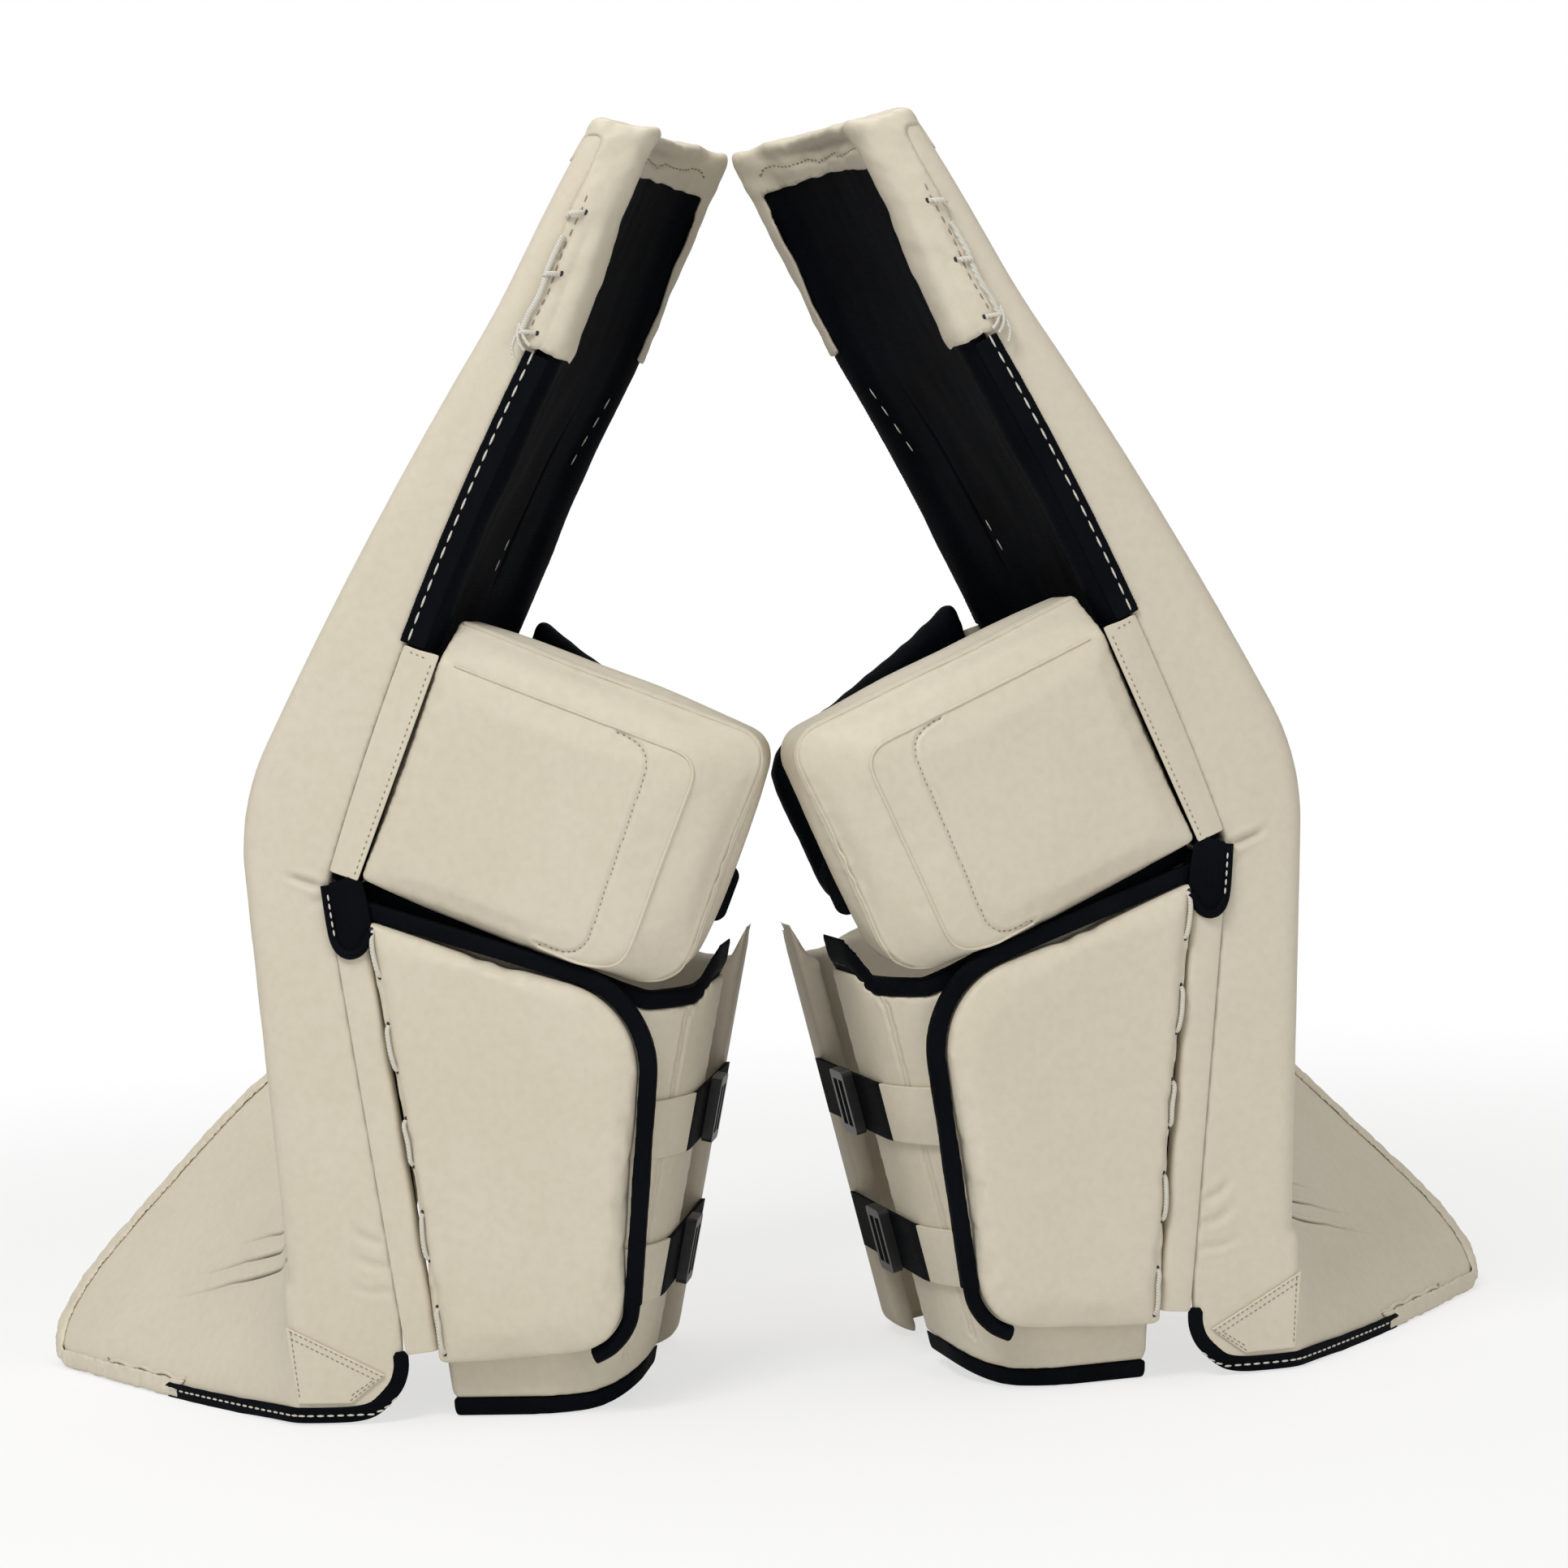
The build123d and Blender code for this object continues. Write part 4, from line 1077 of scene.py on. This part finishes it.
# ---- knee tabs and calf strips ----
# A black bound tab covers each end of the knee break, with a short white stitch row, and below it a leather
# strip runs down behind the sidewall, where the calf wing is laced on.
CALF_STRIP_LENGTH = 266.0
for side, lateral in (("medial", False), ("lateral", True)):
    middle = [across(on_shin(10 + 2 * math.sin(u / 14), 304 + u, -2.0 - u / 60), lateral)
              for u in range(-2, 48, 3)]
    tab = ribbon(side + "_knee_tab", middle, 25.0, 3.0, lambda p: (0, 1 if lateral else -1, 0))
    edge = [across(on_shin(v, up, y), lateral) for v, up, y in (
        (-1, 346, -1.4), (-1.5, 325, -2.0), (-1, 309, -2.6), (4, 301, -3.2), (11, 300, -3.6), (18, 304, -4),
        (23, 313, -4.5))]
    turn = lace(side + "_tab_turn", [edge], 6.5)
    only(tab, turn)
    bpy.ops.object.join()
    row = [across(on_shin(1.0, 313 + 3 * i, -7), lateral) for i in range(11)]
    tab_thread = stitches(side + "_tab_thread", tab, [row], 4.2, 5.6, 1.3)
    tab.name = side + "_knee_tab"
    if lateral:
        stand(tab, "shin", material=binding_nylon, slot="binding")
    else:
        stand(tab, "shin", "shin_binding", material=binding_nylon, slot="binding")
    stand(tab_thread, "shin", material=white_thread, slot="lace")
    strip = strip_sheet(side + "_calf_strip", [
        lambda up: across(on_shin(-1.2, 44 + up, -0.1), lateral),
        lambda up: across(on_shin(2.0, 44 + up, -1.0), lateral),
        lambda up: across(on_shin(10, 44 + up, -1.5), lateral),
        lambda up: across(on_shin(16.5, 44 + up, -1.9), lateral),
        lambda up: across(on_shin(18.3, 44 + up, -0.6), lateral),
        lambda up: across(on_shin(18.5, 44 + up, 4.0), lateral),
        lambda up: across(on_shin(18.5, 44 + up, 9.0), lateral),
    ], CALF_STRIP_LENGTH, 1.8)
    if lateral:
        stand(strip, "shin", material=casing_leather)
    else:
        stand(strip, "shin", "calf_strips", material=casing_leather)

# ---- calf wing ----
# The inner calf wing is a flat leather pad with a thick bound black edge, laced to its strip through holes
# along its front edge.
calf_wing = lift("calf_wing", "calf_wing")
even_skin(calf_wing, 3.0, 4)
puff(calf_wing, 3.0, 4.0)
LACE_FOOT, LACE_PITCH, LACE_LENGTH, LACE_COUNT = 56.5, 60.5, 29.0, 5
lace_rows = [LACE_FOOT + LACE_PITCH * i for i in range(LACE_COUNT)]
margin = laid_on(calf_wing, [on_shin(24, up, BLOCK_FACE) for up in range(38, 320, 6)])
refine(calf_wing, margin, 8)
crease(calf_wing, margin, 3.0, 1.2, 0.0, taper=None)
wing_tree = surface(calf_wing)
LOOP_ARCH = ((-1, -1.5), (-0.97, 0.8), (-0.75, 2.2), (-0.2, 2.5), (0.3, 2.4), (0.75, 2.2), (0.97, 0.8),
             (1, -1.5))
loops = [[over(wing_tree, on_shin(24 + 0.8 * math.sin(3 * t + i), up + t * LACE_LENGTH / 2, BLOCK_FACE), h)
          for t, h in LOOP_ARCH] for i, up in enumerate(lace_rows)]
wing_lace = lace("wing_lace", loops, 3.2)
# near-black discs at both ends of each loop: painted shade inside the lace holes
hole_ups = [up + t * (LACE_LENGTH / 2 + 0.6) for up in lace_rows for t in (-1, 1)]
hole_rows = [[on_shin(24, up, BLOCK_FACE), on_shin(24, up + 0.3, BLOCK_FACE)] for up in hole_ups]
wing_hole_shade = stitches("wing_hole_shade", wing_tree, hole_rows, 3.6, 0.3, 3.4, -0.1)
stand(calf_wing, "calf_wing", "calf_wing", material=casing_leather, fill=0.8)
stand(wing_lace, "calf_wing", "calf_lace", material=white_thread, slot="lace")
stand(wing_hole_shade, "calf_wing", material=hole_shade, slot="lace")
wing_binding = lift("wing_binding", "calf_wing_binding")
even_skin(wing_binding, 1.4, 6)
wrinkle(wing_binding, 30, 0.5, seed=1.0)
heel = lace("wing_binding_heel", [[on_shin(v, up, 6.0) for v, up in (
    (148.6, 62), (146.1, 52.6), (143.4, 44.5), (138.3, 37.3), (132.5, 31.9), (125.4, 27.4),
    (117, 25))]], 10.4)
only(wing_binding, heel)
bpy.ops.object.join()
wing_binding.name = "wing_binding"
stand(wing_binding, "calf_wing", "calf_wing_binding", material=binding_nylon, slot="binding")

# ---- calf wraps ----
# Behind the wing a thicker leather panel curves round the calf, bound in black along its top and its foot. A
# plain panel of the same cut stands on the lateral side.
wrap = lift("calf_wrap", "calf_wrap")
even_skin(wrap, 3.0, 4)
# two seams down the wrap, darkened a little with painted shade and dirt
for x in (-263, -274):
    seam = laid_on(wrap, [(x - 0.225 * z, 12, z) for z in range(20, 262, 8)])
    refine(wrap, seam, 5)
    crease(wrap, seam, 1.4, 1.3, 0.1, taper=None, lip=0.4)
stand(wrap, "calf_wrap", "calf_wrap", material=casing_leather, fill=0.8)
wrap_binding = lift("wrap_binding", "calf_wrap_binding")
even_skin(wrap_binding, 1.5, 6)
stand(wrap_binding, "calf_wrap", "calf_wrap_binding", material=binding_nylon, slot="binding")
outer_wing = lift("outer_calf_wing", "outer_calf_wing")
even_skin(outer_wing, 3.0, 12)
stand(outer_wing, "shin", "outer_calf_wing", material=casing_leather, fill=0.8)

# ---- straps ----
# Two black webbing straps close the calf wrap. Each ends in a white tab and runs through a plastic buckle.
strap_webbing = nylon("strap_webbing", (0.003, 0.0037, 0.0052), 900, 0.8)
buckle_plastic, nodes, links, shader = plain_material("buckle_plastic")
shader.inputs["Roughness"].default_value = 0.34
speckle = nodes.new("ShaderNodeTexNoise")
speckle.inputs["Scale"].default_value = 240
place = nodes.new("ShaderNodeTexCoord")
links.new(place.outputs["Object"], speckle.inputs["Vector"])
tint = toned(nodes, links, speckle.outputs["Fac"], (0.006, 0.006, 0.007), (0.016, 0.016, 0.018))
links.new(tint, shader.inputs["Base Color"])
strap_tabs = lift("strap_tabs", "strap_tabs")
finish_with(strap_tabs, "BEVEL", width=1.0, segments=3, limit_method="ANGLE", angle_limit=math.radians(50))
only(strap_tabs)
bpy.ops.object.shade_smooth_by_angle(angle=math.radians(40))
stand(strap_tabs, "calf_wrap", "strap_tabs", material=casing_leather, slot="tab")
FLAT_NODES = {"knee_strap": strap_webbing, "calf_straps": strap_webbing, "strap_buckles": buckle_plastic}
for leg in places:
    for node, material in FLAT_NODES.items():
        kept = frame["nodes"][leg + "_" + node].data.materials
        kept.clear()
        kept.append(material)

# ---- floor, light and camera ----
# A white floor that keeps a soft shadow, three soft lamps, and a camera in front of the pair.
bpy.ops.object.select_all(action="DESELECT")
bpy.ops.mesh.primitive_plane_add(size=14, location=(0, 0, cad_lo.z - 0.0005))
floor = bpy.context.object
floor.name = "floor"
paper, nodes, links, shader = plain_material("floor_paper")
shader.inputs["Base Color"].default_value = (0.9, 0.9, 0.9, 1)
shader.inputs["Roughness"].default_value = 0.9
bright = nodes.new("ShaderNodeEmission")
seen = nodes.new("ShaderNodeLightPath")
spot = nodes.new("ShaderNodeTexCoord")
away = nodes.new("ShaderNodeVectorMath")
away.operation = "LENGTH"
fade = nodes.new("ShaderNodeMapRange")
fade.interpolation_type = "SMOOTHSTEP"
fade.inputs["From Min"].default_value = 0.7
fade.inputs["From Max"].default_value = 1.9
fade.inputs["To Min"].default_value = 0.66
fade.inputs["To Max"].default_value = 1.0
links.new(spot.outputs["Object"], away.inputs[0])
links.new(away.outputs["Value"], fade.inputs["Value"])
share = nodes.new("ShaderNodeMath")
share.operation = "MULTIPLY"
links.new(fade.outputs["Result"], share.inputs[1])
mix = nodes.new("ShaderNodeMixShader")
links.new(seen.outputs["Is Camera Ray"], share.inputs[0])
links.new(share.outputs["Value"], mix.inputs["Fac"])
links.new(shader.outputs["BSDF"], mix.inputs[1])
links.new(bright.outputs["Emission"], mix.inputs[2])
links.new(mix.outputs["Shader"], nodes["Material Output"].inputs["Surface"])
floor.data.materials.append(paper)

world = bpy.data.worlds.new("studio")
bpy.context.scene.world = world
world.use_nodes = True
nodes, links = world.node_tree.nodes, world.node_tree.links
background = nodes["Background"]
background.inputs["Strength"].default_value = 0.34
background.inputs["Color"].default_value = (1.0, 0.98, 0.95, 1)
white = nodes.new("ShaderNodeBackground")
white.inputs["Color"].default_value = (1, 1, 1, 1)
rays = nodes.new("ShaderNodeLightPath")
mix = nodes.new("ShaderNodeMixShader")
links.new(rays.outputs["Is Camera Ray"], mix.inputs["Fac"])
links.new(background.outputs["Background"], mix.inputs[1])
links.new(white.outputs["Background"], mix.inputs[2])
links.new(mix.outputs["Shader"], nodes["World Output"].inputs["Surface"])

for name, place, size, power in (
    ("key", (-0.9, -1.7, 2.6), 1.0, 44),
    ("fill", (1.9, -2.4, 1.2), 2.0, 13),
    ("top", (0.0, 0.5, 2.8), 2.0, 22),
):
    lamp = bpy.data.lights.new(name, "AREA")
    lamp.size = size
    lamp.energy = power
    holder = placed(name, lamp)
    holder.location = place
    holder.rotation_euler = (Vector((0, 0, 0.4)) - Vector(place)).to_track_quat("-Z", "Y").to_euler()

# the camera stands 2.2 m before the middle of the pair, half a metre up, and leans a little
EYE_HEIGHT, EYE_AWAY, EYE_SIDE = 0.50, 2.2, 0.005
TILT, LEAN = math.radians(2.8), math.radians(2.4)
STANCE_HALF = 0.341
stance = places["left"].translation - Vector((STANCE_HALF, 0, 0))
camera = placed("camera", bpy.data.cameras.new("camera"))
camera.data.sensor_width = 36
camera.data.lens = 78.4286
camera.matrix_world = (Matrix.Translation(stance + Vector((EYE_SIDE, -EYE_AWAY, EYE_HEIGHT)))
                       @ Matrix.Rotation(math.pi / 2 - TILT, 4, "X") @ Matrix.Rotation(-LEAN, 4, "Z"))
bpy.context.scene.camera = camera
bpy.context.scene.view_settings.view_transform = "Standard"
